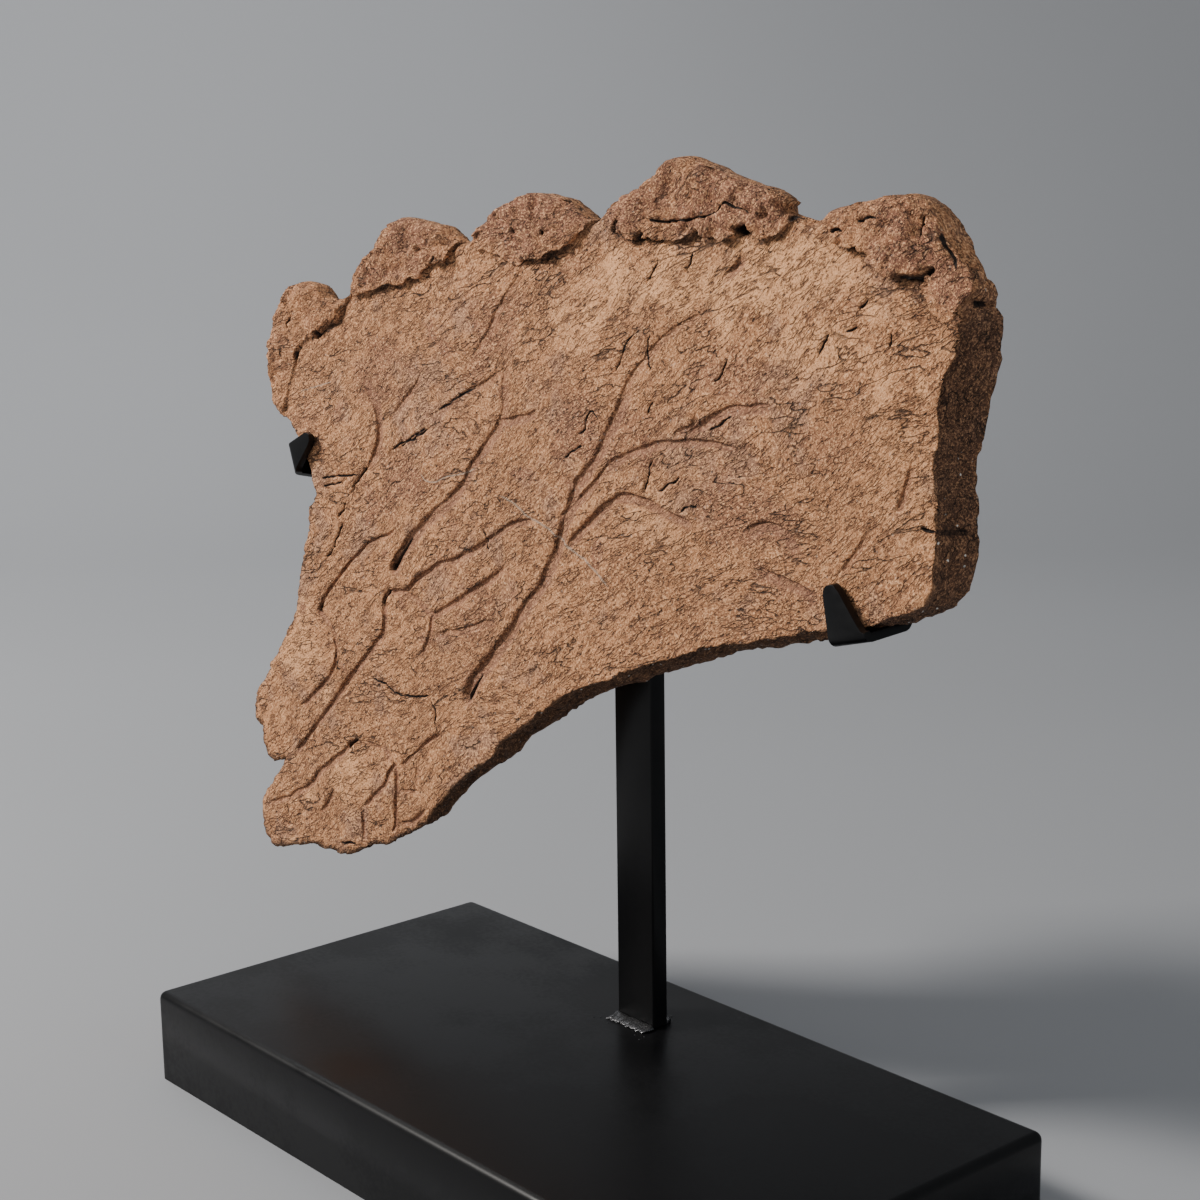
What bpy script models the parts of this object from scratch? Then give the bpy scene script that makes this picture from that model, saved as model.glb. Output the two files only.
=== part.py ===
"""Frill bone of a horned dinosaur, a fossil fragment held on a welded black steel stand.

The bone is a broken plate of frill with its scalloped natural margin on top: five bony knobs fused
along the rim, branching blood-vessel grooves on the face, and raw broken edges on the other sides.
The stand is a folded steel base box, a flat upright bar, a cross bar and two folded hooks.

World frame: X runs along the base, -Y is the shown face, +Z is up, and the origin is the bottom
centre of the whole object. The bone is laid out in its own plate frame: u along X, v up the
leaning plate, w out of the shown face. Sizes are in millimetres until they reach the mesh.
"""

import math
from collections import namedtuple

import bmesh
import bpy
from mathutils import Vector, noise
from mathutils.geometry import delaunay_2d_cdt

MM = 0.001
CONTACT_GAP = 0.3

# ---- stand -------------------------------------------------------------------------------------
BASE_LENGTH = 440.0
BASE_DEPTH = 220.0
BASE_HEIGHT = 51.0
BASE_CENTRE_X = 35.5
BASE_EDGE_RADIUS = 4.5
BASE_SHEET = 4.0

BAR_WIDTH = 28.0
BAR_THICKNESS = 10.0
BAR_CENTRE_X = 28.5
BAR_FRONT_Y = 55.0
BAR_TOP = 388.0
BAR_EDGE_RADIUS = 0.8

CROSS_LEFT = -240.0
CROSS_RIGHT = 182.0
CROSS_LOW = -20.0
CROSS_HIGH = 0.0
CROSS_THICKNESS = 7.0

# Each hook is a folded strip: lower left corner of its finger and direction of its fold in degrees,
# both in the plate plane, strip width, lengths of finger and leg, width of the fingertip, and how
# much the ledge climbs for each millimetre towards the back.
STRIP_THICKNESS = 4.0
STRIP_BEND_RADIUS = 3.4
FINGER_FACE_W = 6.0
LEG_BACK_W = -25.5
Hook = namedtuple("Hook", "corner direction width finger leg tip climb")
LEFT_HOOK = Hook((-261.2, -12.6), -64.0, 17.4, 24.5, 40.0, 7.5, -0.15)
RIGHT_HOOK = Hook((171.8, -59.8), 15.0, 21.0, 27.5, 62.0, 8.6, 0.15)

# ---- plate frame -------------------------------------------------------------------------------
PLATE_ORIGIN = Vector((35.5, 22.0, 350.0))
PLATE_LEAN = math.radians(5.0)
AXIS_U = Vector((1.0, 0.0, 0.0))
AXIS_V = Vector((0.0, math.sin(PLATE_LEAN), math.cos(PLATE_LEAN)))
AXIS_W = Vector((0.0, -math.cos(PLATE_LEAN), math.sin(PLATE_LEAN)))

# ---- bone outline, clockwise as seen from the shown face -----------------------------------------
# The natural margin: the rim of each knob, with the notches between them.
NATURAL_MARGIN = (
    (-281, 3), (-287, 8), (-294, 24), (-297, 38), (-295, 49), (-288, 62), (-278, 75), (-270, 80),
    (-260, 81), (-249, 79), (-241, 73), (-229, 73), (-217, 76), (-212, 85), (-203, 94),
    (-191, 105), (-184, 113), (-173, 118), (-162, 119), (-148, 117), (-133, 115), (-125, 111),
    (-116, 108), (-99, 119), (-81, 128), (-69, 132), (-56, 133), (-43, 132), (-31, 129),
    (-22, 124), (-13, 121), (-3, 128), (8, 133), (21, 137), (32, 144), (40, 149), (49, 151),
    (57, 150), (66, 147), (80, 143), (95, 139), (109, 136), (117, 132), (114, 128), (123, 125),
    (133, 123), (141, 128), (152, 130), (166, 132), (179, 134), (190, 135), (198, 132),
    (205, 126), (211, 117), (217, 108), (221, 101),
)
# The raw broken end on the right.
BROKEN_END = (
    (225, 97), (223, 91), (226, 85), (226, 75), (223, 60), (222, 50), (223, 38), (221, 28),
    (222, 12), (224, -3), (224, -16), (222, -28), (215, -36), (203, -41),
)
# The broken lower edge, running down to the left-hand tip.
BROKEN_FOOT = (
    (189, -48), (164, -54), (145, -59), (121, -66), (98, -72), (77, -79), (62, -85), (44, -92),
    (23, -101), (2, -109), (-22, -122), (-42, -136), (-57, -146), (-71, -159), (-90, -173),
    (-105, -185), (-125, -206), (-141, -214), (-160, -224), (-176, -228), (-185, -234),
    (-198, -238), (-224, -239), (-245, -244), (-266, -250), (-274, -246), (-281, -236),
    (-279, -224),
)
# The broken left side, with the corner that the left hook carries.
BROKEN_SIDE = (
    (-268, -213), (-260, -196), (-277, -199), (-283, -185), (-292, -172), (-288, -162),
    (-277, -145), (-265, -128), (-256, -115), (-252, -102), (-248, -84), (-246, -73),
    (-241, -60), (-242, -47), (-236, -39), (-241, -32), (-247, -20), (-259, -7), (-270, 2),
)

# ---- bony knobs along the margin: the seam where each one meets the frill ------------------------
# (seam points, ledge height at the seam, extra height of the crown)
KNOBS = (
    (((-252, 98), (-222, 78), (-225, 65), (-232, 59), (-241, 56), (-246, 48), (-258, 41),
      (-270, 30), (-282, 10), (-295, -12)), 2.6, 3.0),
    (((-228, 62), (-210, 75), (-199, 75), (-189, 79), (-178, 83), (-167, 83), (-156, 86),
      (-142, 92), (-132, 96), (-122, 99), (-116, 106), (-108, 126)), 4.2, 2.8),
    (((-126, 104), (-103, 103), (-93, 104), (-81, 101), (-69, 96), (-60, 101), (-47, 103),
      (-36, 108), (-26, 111), (-17, 117), (-4, 138)), 3.8, 3.0),
    (((-26, 118), (-6, 121), (3, 119), (12, 116), (22, 114), (29, 117), (42, 116), (59, 115),
      (73, 114), (83, 115), (91, 119), (102, 119), (112, 123), (124, 133), (132, 146)), 4.6, 2.6),
    (((137, 150), (141, 128), (149, 119), (155, 115), (163, 114), (169, 112), (174, 108),
      (183, 103), (191, 101), (199, 101), (201, 94), (210, 88), (221, 82), (242, 72)), 4.8, 2.8),
)
LEDGE_WIDTH = 2.4

# ---- blood-vessel grooves on the shown face ------------------------------------------------------
# (width and depth at the start, width and depth towards the end, route)
GROOVES = (
    (8.0, 3.6, 6.0, 1.8, ((-158, -68), (-147, -57), (-133, -44), (-114, -30), (-99, -17), (-93, -8),
                          (-82, 4), (-71, 17), (-65, 33), (-56, 49), (-43, 71))),
    (6.0, 1.8, 5.0, 1.4, ((-71, 17), (-58, 19), (-39, 25))),
    (5.0, 2.2, 4.5, 1.6, ((-167, -90), (-160, -85), (-148, -82), (-136, -72), (-121, -64),
                          (-104, -58), (-75, -44), (-58, -34), (-39, -30))),
    (5.0, 1.6, 5.0, 1.8, ((-142, -80), (-132, -87), (-123, -90), (-105, -84), (-75, -66),
                          (-47, -47), (-31, -39))),
    (5.0, 2.2, 4.0, 1.5, ((-230, -103), (-221, -92), (-205, -76), (-190, -62), (-162, -52))),
    (9.0, 4.4, 7.0, 2.4, ((-87, -127), (-77, -117), (-66, -103), (-54, -89), (-43, -75), (-33, -63),
                          (-25, -48), (-17, -32), (-2, -9), (15, 20), (22, 32), (34, 42))),
    (6.0, 2.2, 5.0, 1.4, ((-19, -35), (-4, -19), (9, -4), (21, 7), (35, 14), (50, 19), (76, 20),
                          (104, 19))),
    (5.0, 0.0, 6.0, 1.5, ((3, -26), (16, -18), (28, -13), (45, -11), (55, -14), (67, -18))),
    (5.0, 0.0, 6.0, 1.6, ((64, 22), (77, 28), (90, 35), (103, 38), (124, 40))),
    (6.0, 0.0, 7.0, 1.6, ((107, -21), (117, -15), (127, -13), (136, -16), (145, -26))),
    (6.0, 0.0, 6.0, 1.6, ((116, -32), (128, -35), (140, -37), (160, -43))),
    (6.0, 2.4, 5.0, 2.0, ((-164, -94), (-165, -105), (-172, -115), (-181, -124), (-197, -140),
                          (-208, -152), (-220, -163), (-235, -177), (-248, -190))),
    (4.5, 1.6, 4.5, 1.6, ((-230, -105), (-218, -114), (-211, -120), (-210, -127), (-203, -137))),
    (4.5, 0.0, 5.0, 1.8, ((-155, -170), (-149, -178), (-147, -190), (-147, -205), (-152, -220))),
    (7.0, 0.0, 7.0, 1.8, ((-200, 33), (-189, 24), (-181, 15), (-178, 4), (-180, -7), (-186, -21))),
)
GROOVE_RUN_OUT = 10.0
# Small round holes where the vessels enter the bone: (u, v, radius, depth).
VESSEL_HOLES = (
    (-159, -70, 3.4, 5.5),
    (-168, -91, 3.0, 4.5),
    (-231, -104, 3.2, 5.0),
    (-88, -128, 3.8, 6.0),
    (-194, -175, 3.0, 4.5),
)

# ---- bone thickness and finish of its edges ------------------------------------------------------
THICKNESS_MIDDLE = 27.6
THICKNESS_EDGE = 23.0
THICKNESS_TIP = 17.0
RIM_RADIUS = 10.0
BACK_RIM_RADIUS = 5.0
RIM_DROP = 0.92
CHIP_RADIUS = 1.4
# The back rises towards the natural margin, so that the knobs are thinner at their rims.
TAPER_DEPTH = 12.0
TAPER_REACH = 40.0
# How far the broken right end leans out towards the back: (height on the plate, lean).
END_LEAN = ((-40, 0.0), (-15, 2.1), (0, 1.6), (28, 0.9), (40, 2.0), (50, 3.7), (60, 2.9), (72, 0.8),
            (85, 1.1), (97, 0.4))
REST_GAP = 0.4
LEG_GAP = 0.8
LEG_MARGIN = 18.0
FINGER_MARGIN = 10.0

# ---- mesh spacing --------------------------------------------------------------------------------
OUTLINE_STEP = 8.4
RAIL_STEP = 7.5
FACE_STEP = 9.0
BACK_STEP = 17.0


def plate_point(u, v, w):
    """A point of the plate frame as a world point, both in millimetres."""
    return PLATE_ORIGIN + AXIS_U * u + AXIS_V * v + AXIS_W * w


def plate_to_world(u, v, w):
    """A point of the plate frame in millimetres, as a world point in metres."""
    return plate_point(u, v, w) * MM


def smooth(low, high, x):
    """0 below low, 1 above high, and an eased rise between them."""
    t = min(1.0, max(0.0, (x - low) / (high - low)))
    return t * t * (3.0 - 2.0 * t)


def between(table, x):
    """The value at x in a table of (place, value), straight between its rows."""
    if x <= table[0][0]:
        return table[0][1]
    for (low, start), (high, end) in zip(table, table[1:]):
        if x < high:
            return start + (end - start) * (x - low) / (high - low)
    return table[-1][1]


def noise_at(u, v, scale, seed):
    return noise.noise(Vector((u / scale, v / scale, seed)))


# ---- plane curves --------------------------------------------------------------------------------
def curve_point(a, b, c, d, t):
    """A centripetal-like Catmull-Rom point between b and c."""
    m1 = (c - a) * 0.5
    m2 = (d - b) * 0.5
    t2 = t * t
    t3 = t2 * t
    return b * (2 * t3 - 3 * t2 + 1) + m1 * (t3 - 2 * t2 + t) + c * (3 * t2 - 2 * t3) + m2 * (t3 - t2)


def smooth_line(points, closed, step):
    """Points about step apart along a smooth curve through the given ones."""
    knots = [Vector(p) for p in points]
    count = len(knots)
    spans = count if closed else count - 1
    dense = []
    for i in range(spans):
        if closed:
            a, b, c, d = (knots[(i + k) % count] for k in (-1, 0, 1, 2))
        else:
            a, b, c, d = (knots[min(max(i + k, 0), count - 1)] for k in (-1, 0, 1, 2))
        dense.extend(curve_point(a, b, c, d, k / 12) for k in range(12))
    dense.append(knots[0] if closed else knots[-1])
    travelled = [0.0]
    for p, q in zip(dense, dense[1:]):
        travelled.append(travelled[-1] + (q - p).length)
    total = travelled[-1]
    wanted = max(2, round(total / step))
    line = []
    k = 0
    for i in range(wanted if closed else wanted + 1):
        s = total * i / wanted
        while k < len(dense) - 2 and travelled[k + 1] < s:
            k += 1
        part = (s - travelled[k]) / max(travelled[k + 1] - travelled[k], 1e-9)
        line.append(dense[k].lerp(dense[k + 1], min(part, 1.0)))
    return line


def distance_to_line(p, line):
    best = 1e9
    for a, b in zip(line, line[1:]):
        ab = b - a
        t = min(1.0, max(0.0, (p - a).dot(ab) / max(ab.length_squared, 1e-9)))
        best = min(best, (p - a - ab * t).length_squared)
    return math.sqrt(best)


def nearest_on_line(p, line):
    """The distance from p to a line of even steps, and how far along it the nearest place is."""
    best = 1e9
    share = 0.0
    for i, (a, b) in enumerate(zip(line, line[1:])):
        ab = b - a
        t = min(1.0, max(0.0, (p - a).dot(ab) / max(ab.length_squared, 1e-9)))
        d = (p - a - ab * t).length_squared
        if d < best:
            best = d
            share = (i + t) / (len(line) - 1)
    return math.sqrt(best), share


def groove_size(groove, share, length):
    """The width and depth of a groove at a share of its length."""
    start_width, start_depth, end_width, end_depth, _route = groove
    width = start_width + (end_width - start_width) * share
    if start_depth == 0.0:
        depth = end_depth * smooth(0.0, GROOVE_RUN_OUT, share * length)
    else:
        depth = start_depth + (end_depth - start_depth) * share
    return width, depth * smooth(0.0, GROOVE_RUN_OUT, (1.0 - share) * length)


def is_inside(p, polygon):
    inside = False
    for a, b in zip(polygon, polygon[1:] + polygon[:1]):
        if (a.y > p.y) != (b.y > p.y) and p.x < a.x + (p.y - a.y) * (b.x - a.x) / (b.y - a.y):
            inside = not inside
    return inside


class Relief:
    """The height of the bone's two faces over the plate plane."""

    def __init__(self):
        self.natural = smooth_line(NATURAL_MARGIN, False, 5.0)
        broken = BROKEN_END + BROKEN_FOOT + BROKEN_SIDE
        self.broken = smooth_line(NATURAL_MARGIN[-1:] + broken + NATURAL_MARGIN[:1], False, 5.0)
        self.knobs = []
        for seam, ledge, crown in KNOBS:
            line = smooth_line(seam, False, 4.0)
            above = [Vector((line[-1].x, 220.0)), Vector((line[0].x, 220.0))]
            if seam is KNOBS[0][0]:
                above = [Vector((-360.0, -12.0)), Vector((-360.0, 160.0)), Vector((-252.0, 160.0))]
            if seam is KNOBS[-1][0]:
                above = [Vector((300.0, 72.0)), Vector((300.0, 220.0)), Vector((137.0, 220.0))]
            self.knobs.append((line, line + above, ledge, crown))
        self.grooves = [(smooth_line(groove[-1], False, 4.0), groove) for groove in GROOVES]

    def knob_height(self, p, sharp):
        """How far a knob stands proud of the frill: a ledge at its seam, then a low crown."""
        height = 0.0
        for line, region, ledge, crown in self.knobs:
            if p.x < min(q.x for q in region) or p.x > max(q.x for q in region):
                continue
            d = distance_to_line(p, line)
            if not is_inside(p, region):
                d = -d
            step = smooth(-0.2, LEDGE_WIDTH, d) if sharp else smooth(-9.0, 9.0, d)
            height = max(height, step * ledge + smooth(2.0, 26.0, d) * crown)
        return height

    def groove_depth(self, p):
        depth = 0.0
        for line, groove in self.grooves:
            reach = max(groove[0], groove[2])
            if min(q.x for q in line) - reach < p.x < max(q.x for q in line) + reach:
                away, share = nearest_on_line(p, line)
                length = len(line) * 4.0
                width, full = groove_size(groove, share, length)
                if away < width * 0.5:
                    depth = max(depth, full * (1.0 - (away / (width * 0.5)) ** 2))
        return depth

    def hole_depth(self, p):
        depth = 0.0
        for u, v, radius, full in VESSEL_HOLES:
            d = (p - Vector((u, v))).length / radius
            if d < 1.0:
                depth = max(depth, full * (1.0 - d * d))
        return depth

    def rim_drop(self, p, rim_radius):
        """The rounding of the natural margin and the small chipped radius of the broken one."""
        drop = 0.0
        for line, radius in ((self.natural, rim_radius), (self.broken, CHIP_RADIUS)):
            d = distance_to_line(p, line)
            if d < radius:
                drop += radius - math.sqrt(radius * radius - (radius - d) ** 2)
        return drop * RIM_DROP

    def front(self, u, v):
        p = Vector((u, v))
        swell = 1.7 * noise_at(u, v, 75.0, 3.1) + 1.0 * noise_at(u, v, 26.0, 7.7)
        knob = self.knob_height(p, True)
        lumps = 1.6 * noise_at(u, v, 11.0, 5.3) * smooth(0.5, 4.0, knob)
        height = swell + knob + lumps - self.rim_drop(p, RIM_RADIUS)
        return height - max(self.groove_depth(p), self.hole_depth(p))

    def back(self, u, v):
        p = Vector((u, v))
        middle = math.exp(-((u / 120.0) ** 2)) * math.exp(-(((v - 20.0) / 90.0) ** 2))
        tip = smooth(-120.0, -230.0, v) if v < -120.0 else 0.0
        thick = THICKNESS_EDGE + (THICKNESS_MIDDLE - THICKNESS_EDGE) * middle
        thick -= (THICKNESS_EDGE - THICKNESS_TIP) * tip
        swell = 1.0 * noise_at(u, v, 60.0, 11.9) + 0.5 * noise_at(u, v, 22.0, 1.3)
        taper = max(0.0, 1.0 - distance_to_line(p, self.natural) / TAPER_REACH) ** 1.5
        taper *= TAPER_DEPTH * smooth(0.0, 40.0, v)
        height = -thick + swell - 0.25 * self.knob_height(p, False)
        height += taper + self.rim_drop(p, BACK_RIM_RADIUS)
        if CROSS_LOW - BACK_STEP < v < CROSS_HIGH + BACK_STEP:
            height = max(height, LEG_BACK_W + CONTACT_GAP)
        return height

    def slant(self, p):
        """How far a broken edge leans: its rear lip stands out past the front one on the right."""
        lean = 2.4 * min(1.0, max(-1.0, (p.x + 40.0) / 90.0)) * smooth(30.0, 60.0, -p.y)
        return lean + smooth(205.0, 218.0, p.x) * between(END_LEAN, p.y)


def hook_frame(hook):
    """The corner of a hook and the two directions along and up its finger, in the plate plane."""
    angle = math.radians(hook.direction)
    along = Vector((math.cos(angle), math.sin(angle)))
    return Vector(hook.corner), along, Vector((-along.y, along.x))


def clear_of_hooks(u, v, w):
    """A point of the bone moved off the inside faces of the two hooks, so that it rests on them."""
    for hook in (LEFT_HOOK, RIGHT_HOOK):
        corner, along, up = hook_frame(hook)
        rise = (FINGER_FACE_W - w) * hook.climb
        from_corner = Vector((u, v - rise)) - corner
        a = from_corner.dot(along)
        n = from_corner.dot(up)
        if not -LEG_MARGIN < a < hook.width + LEG_MARGIN or not -LEG_MARGIN < n < hook.leg + LEG_MARGIN:
            continue
        w = max(w, LEG_BACK_W + STRIP_THICKNESS + LEG_GAP)
        if not -FINGER_MARGIN < a < hook.width + FINGER_MARGIN:
            continue
        if n < hook.finger + FINGER_MARGIN:
            w = min(w, FINGER_FACE_W - STRIP_THICKNESS - REST_GAP)
        floor = STRIP_THICKNESS + REST_GAP
        if -FINGER_MARGIN < n < floor:
            u += up.x * (floor - n)
            v += up.y * (floor - n)
    return plate_to_world(u, v, w)


def line_normals(line):
    count = len(line)
    normals = []
    for i in range(count):
        along = (line[(i + 1) % count] - line[i - 1]).normalized()
        normals.append(Vector((-along.y, along.x)))
    return normals


def bone_outline(relief):
    """The closed outline, with a slight roughness where the bone is broken."""
    points = NATURAL_MARGIN + BROKEN_END + BROKEN_FOOT + BROKEN_SIDE
    line = smooth_line(points, True, OUTLINE_STEP)
    rough = []
    for p, n in zip(line, line_normals(line)):
        broken = smooth(2.0, 8.0, distance_to_line(p, relief.natural))
        rough.append(p + n * 1.1 * broken * noise_at(p.x, p.y, 9.0, 2.2))
    return rough


def runs_inside(line, outline):
    """The stretches of a line that lie well inside the outline."""
    loop = outline + outline[:1]
    runs = [[]]
    for p in line:
        if is_inside(p, outline) and distance_to_line(p, loop) > 2.5:
            runs[-1].append(p)
        elif runs[-1]:
            runs.append([])
    return [run for run in runs if len(run) > 1]


def groove_rails(outline):
    """Centre-line points of the grooves, and the lip points on both sides of them."""
    centres = []
    lips = []
    for groove in GROOVES:
        whole = smooth_line(groove[-1], False, RAIL_STEP)
        for line in runs_inside(whole, outline):
            centres.append(line)
            for a, b in zip(line, line[1:]):
                width, _depth = groove_size(groove, whole.index(a) / len(whole), 100.0)
                side = Vector((a.y - b.y, b.x - a.x)).normalized() * width * 0.5
                lips.append((a + b) * 0.5 + side)
                lips.append((a + b) * 0.5 - side)
    return centres, lips


def hole_rings():
    """A ring of points at the rim and one halfway down each vessel hole."""
    points = []
    for u, v, radius, _depth in VESSEL_HOLES:
        points.append(Vector((u, v)))
        for k in range(8):
            angle = math.radians(45.0 * k)
            points.append(Vector((u + radius * math.cos(angle), v + radius * math.sin(angle))))
    return points


def seam_rails(relief, outline):
    """Two rows of points at the foot and the top of each knob's ledge."""
    rows = []
    for line, _region, _ledge, _crown in relief.knobs:
        kept = smooth_line([tuple(p) for p in line], False, RAIL_STEP)
        for offset in (-0.4, LEDGE_WIDTH):
            row = []
            for a, b in zip(kept, kept[1:]):
                side = Vector((a.y - b.y, b.x - a.x)).normalized()
                row.append((a + b) * 0.5 + side * offset)
            rows.extend(runs_inside(row, outline))
    return rows


def fill_points(outline, fixed, step, keep_off):
    """A staggered grid over the outline, clear of the points already there."""
    near = {}
    cell = keep_off
    for p in fixed:
        near.setdefault((int(p.x // cell), int(p.y // cell)), []).append(p)

    def is_clear(p, reach):
        cx = int(p.x // cell)
        cy = int(p.y // cell)
        for ix in (cx - 1, cx, cx + 1):
            for iy in (cy - 1, cy, cy + 1):
                if any((p - q).length < reach for q in near.get((ix, iy), ())):
                    return False
        return True

    low_u = min(p.x for p in outline)
    high_u = max(p.x for p in outline)
    low_v = min(p.y for p in outline)
    high_v = max(p.y for p in outline)
    rise = step * math.sqrt(3.0) / 2.0
    points = []
    for row in range(int((high_v - low_v) / rise) + 1):
        for column in range(int((high_u - low_u) / step) + 2):
            u = low_u + column * step + (row % 2) * step * 0.5
            v = low_v + row * rise
            jitter = Vector((noise_at(u, v, 5.0, 0.4), noise_at(u, v, 5.0, 9.4))) * step * 0.3
            p = Vector((u, v)) + jitter
            if is_inside(p, outline) and is_clear(p, keep_off):
                points.append(p)
    return points


def inner_loops(outline, offsets, normals):
    """Points a little inside the outline, dropped where they crowd a notch."""
    loop = outline + outline[:1]
    points = []
    for offset in offsets:
        for p, n in zip(outline, normals):
            q = p - n * offset
            if is_inside(q, outline) and distance_to_line(q, loop) > offset * 0.9:
                points.append(q)
    return points


def triangulate(outline, lines, loose):
    """Triangles over the outline that follow the given lines. Returns points, faces and outline indices."""
    points = list(outline)
    edges = []
    for line in lines:
        start = len(points)
        points.extend(line)
        edges.extend((start + i, start + i + 1) for i in range(len(line) - 1))
    points.extend(loose)
    ring = list(range(len(outline)))
    result = delaunay_2d_cdt(points, edges, [ring], 1, 0.05)
    verts, _edges, faces, origin = result[0], result[1], result[2], result[3]
    place = {}
    for new, olds in enumerate(origin):
        for old in olds:
            place[old] = new
    return verts, faces, [place[i] for i in ring]


def build_bone(material):
    """The bone as one closed mesh: shown face, back face and the edge wall between them."""
    relief = Relief()
    outline = bone_outline(relief)
    normals = line_normals(outline)
    centres, lips = groove_rails(outline)
    seams = seam_rails(relief, outline)
    rim_points = [p for p in inner_loops(outline, (3.0, 7.0), normals)
                  if distance_to_line(p, relief.natural) < 7.5]
    chip_points = [p for p in inner_loops(outline, (3.0,), normals)
                   if distance_to_line(p, relief.natural) > 7.5]

    holes = hole_rings()
    lips = [p for p in lips if all((p - Vector(hole[:2])).length > hole[2] + 1.5 for hole in VESSEL_HOLES)]
    fixed = outline + rim_points + chip_points + lips + holes
    for line in centres + seams:
        fixed = fixed + line
    loose = rim_points + chip_points + lips + holes
    loose = loose + fill_points(outline, fixed, FACE_STEP, 5.4)
    front_points, front_faces, front_ring = triangulate(outline, centres + seams, loose)

    back_loose = rim_points + fill_points(outline, outline + rim_points, BACK_STEP, 7.5)
    back_points, back_faces, back_ring = triangulate(outline, [], back_loose)

    mesh = bmesh.new()
    front = [mesh.verts.new(clear_of_hooks(p.x, p.y, relief.front(p.x, p.y))) for p in front_points]
    back = [mesh.verts.new(clear_of_hooks(p.x, p.y, relief.back(p.x, p.y))) for p in back_points]

    rings = [[front[i] for i in front_ring]]
    for share in (0.33, 0.67):
        ring = []
        for p, n in zip(outline, normals):
            w_front = relief.front(p.x, p.y)
            w_back = relief.back(p.x, p.y)
            natural = 1.0 - smooth(0.0, 9.0, distance_to_line(p, relief.natural))
            rough = 1.6 * noise.noise(Vector((p.x / 8, p.y / 8, share * 5)))
            out = natural + (1.0 - natural) * rough + relief.slant(p) * (share * 2.0 - 1.0)
            place = p + n * out
            ring.append(mesh.verts.new(clear_of_hooks(*place, w_front + (w_back - w_front) * share)))
        rings.append(ring)
    rings.append([back[i] for i in back_ring])
    for i, (p, n) in enumerate(zip(outline, normals)):
        lean = n * relief.slant(p)
        rings[0][i].co = clear_of_hooks(*(p - lean), relief.front(p.x, p.y))
        rings[-1][i].co = clear_of_hooks(*(p + lean), relief.back(p.x, p.y))

    for face in front_faces:
        mesh.faces.new([front[i] for i in face])
    for face in back_faces:
        mesh.faces.new([back[i] for i in reversed(face)])
    count = len(outline)
    for upper, lower in zip(rings, rings[1:]):
        for i in range(count):
            j = (i + 1) % count
            mesh.faces.new((upper[i], upper[j], lower[j], lower[i]))
    return finish_mesh("frill_bone", mesh, material)


# ---- stand ---------------------------------------------------------------------------------------
def make_material(name, colour, roughness, metallic):
    material = bpy.data.materials.new(name)
    material.use_nodes = True
    shader = material.node_tree.nodes["Principled BSDF"]
    shader.inputs["Base Color"].default_value = (*colour, 1.0)
    shader.inputs["Roughness"].default_value = roughness
    shader.inputs["Metallic"].default_value = metallic
    return material


def finish_mesh(name, mesh, material, smooth_angle=40.0):
    """Closes a bmesh into a named object: triangles, faces outward, smooth where it is round."""
    bmesh.ops.triangulate(mesh, faces=mesh.faces[:])
    bmesh.ops.recalc_face_normals(mesh, faces=mesh.faces[:])
    data = bpy.data.meshes.new(name)
    mesh.to_mesh(data)
    mesh.free()
    data.shade_smooth()
    data.set_sharp_from_angle(angle=math.radians(smooth_angle))
    data.materials.append(material)
    thing = bpy.data.objects.new(name, data)
    bpy.context.scene.collection.objects.link(thing)
    return thing


def box_between(low, high):
    """A bmesh box between two corners in millimetres."""
    mesh = bmesh.new()
    bmesh.ops.create_cube(mesh, size=1.0)
    size = Vector(high) - Vector(low)
    centre = (Vector(high) + Vector(low)) * 0.5
    for vert in mesh.verts:
        vert.co = Vector((vert.co.x * size.x, vert.co.y * size.y, vert.co.z * size.z)) + centre
        vert.co *= MM
    return mesh


def bevel_edges(mesh, edges, radius, segments):
    bmesh.ops.bevel(mesh, geom=edges, offset=radius * MM, segments=segments, profile=0.5,
                    affect="EDGES", clamp_overlap=True)


def build_base(material):
    """A box folded from steel sheet: closed on top and on its four sides, open underneath."""
    half_x = BASE_LENGTH / 2
    half_y = BASE_DEPTH / 2
    shell = box_between((BASE_CENTRE_X - half_x, -half_y, 0.0),
                        (BASE_CENTRE_X + half_x, half_y, BASE_HEIGHT))
    rounded = [e for e in shell.edges if max(v.co.z for v in e.verts) > 1.0 * MM]
    bevel_edges(shell, rounded, BASE_EDGE_RADIUS, 4)
    base = finish_mesh("base", shell, material)

    hollow = box_between((BASE_CENTRE_X - half_x + BASE_SHEET, -half_y + BASE_SHEET, -10.0),
                         (BASE_CENTRE_X + half_x - BASE_SHEET, half_y - BASE_SHEET,
                          BASE_HEIGHT - BASE_SHEET))
    upright_edges = [e for e in hollow.edges
                     if abs(e.verts[0].co.z - e.verts[1].co.z) > 1.0 * MM]
    bevel_edges(hollow, upright_edges, 1.5, 1)
    cutter = finish_mesh("base_hollow_cutter", hollow, material)
    cutter.hide_render = True
    cutter.display_type = "WIRE"
    cut = base.modifiers.new("hollow", "BOOLEAN")
    cut.operation = "DIFFERENCE"
    cut.object = cutter
    return base


def build_upright(material):
    """The flat bar that stands on the base."""
    low = (BAR_CENTRE_X - BAR_WIDTH / 2, BAR_FRONT_Y, BASE_HEIGHT + CONTACT_GAP)
    high = (BAR_CENTRE_X + BAR_WIDTH / 2, BAR_FRONT_Y + BAR_THICKNESS, BAR_TOP)
    bar = box_between(low, high)
    long_edges = [e for e in bar.edges if abs(e.verts[0].co.z - e.verts[1].co.z) > 1.0 * MM]
    bevel_edges(bar, long_edges, BAR_EDGE_RADIUS, 2)
    return finish_mesh("upright", bar, material)


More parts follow.
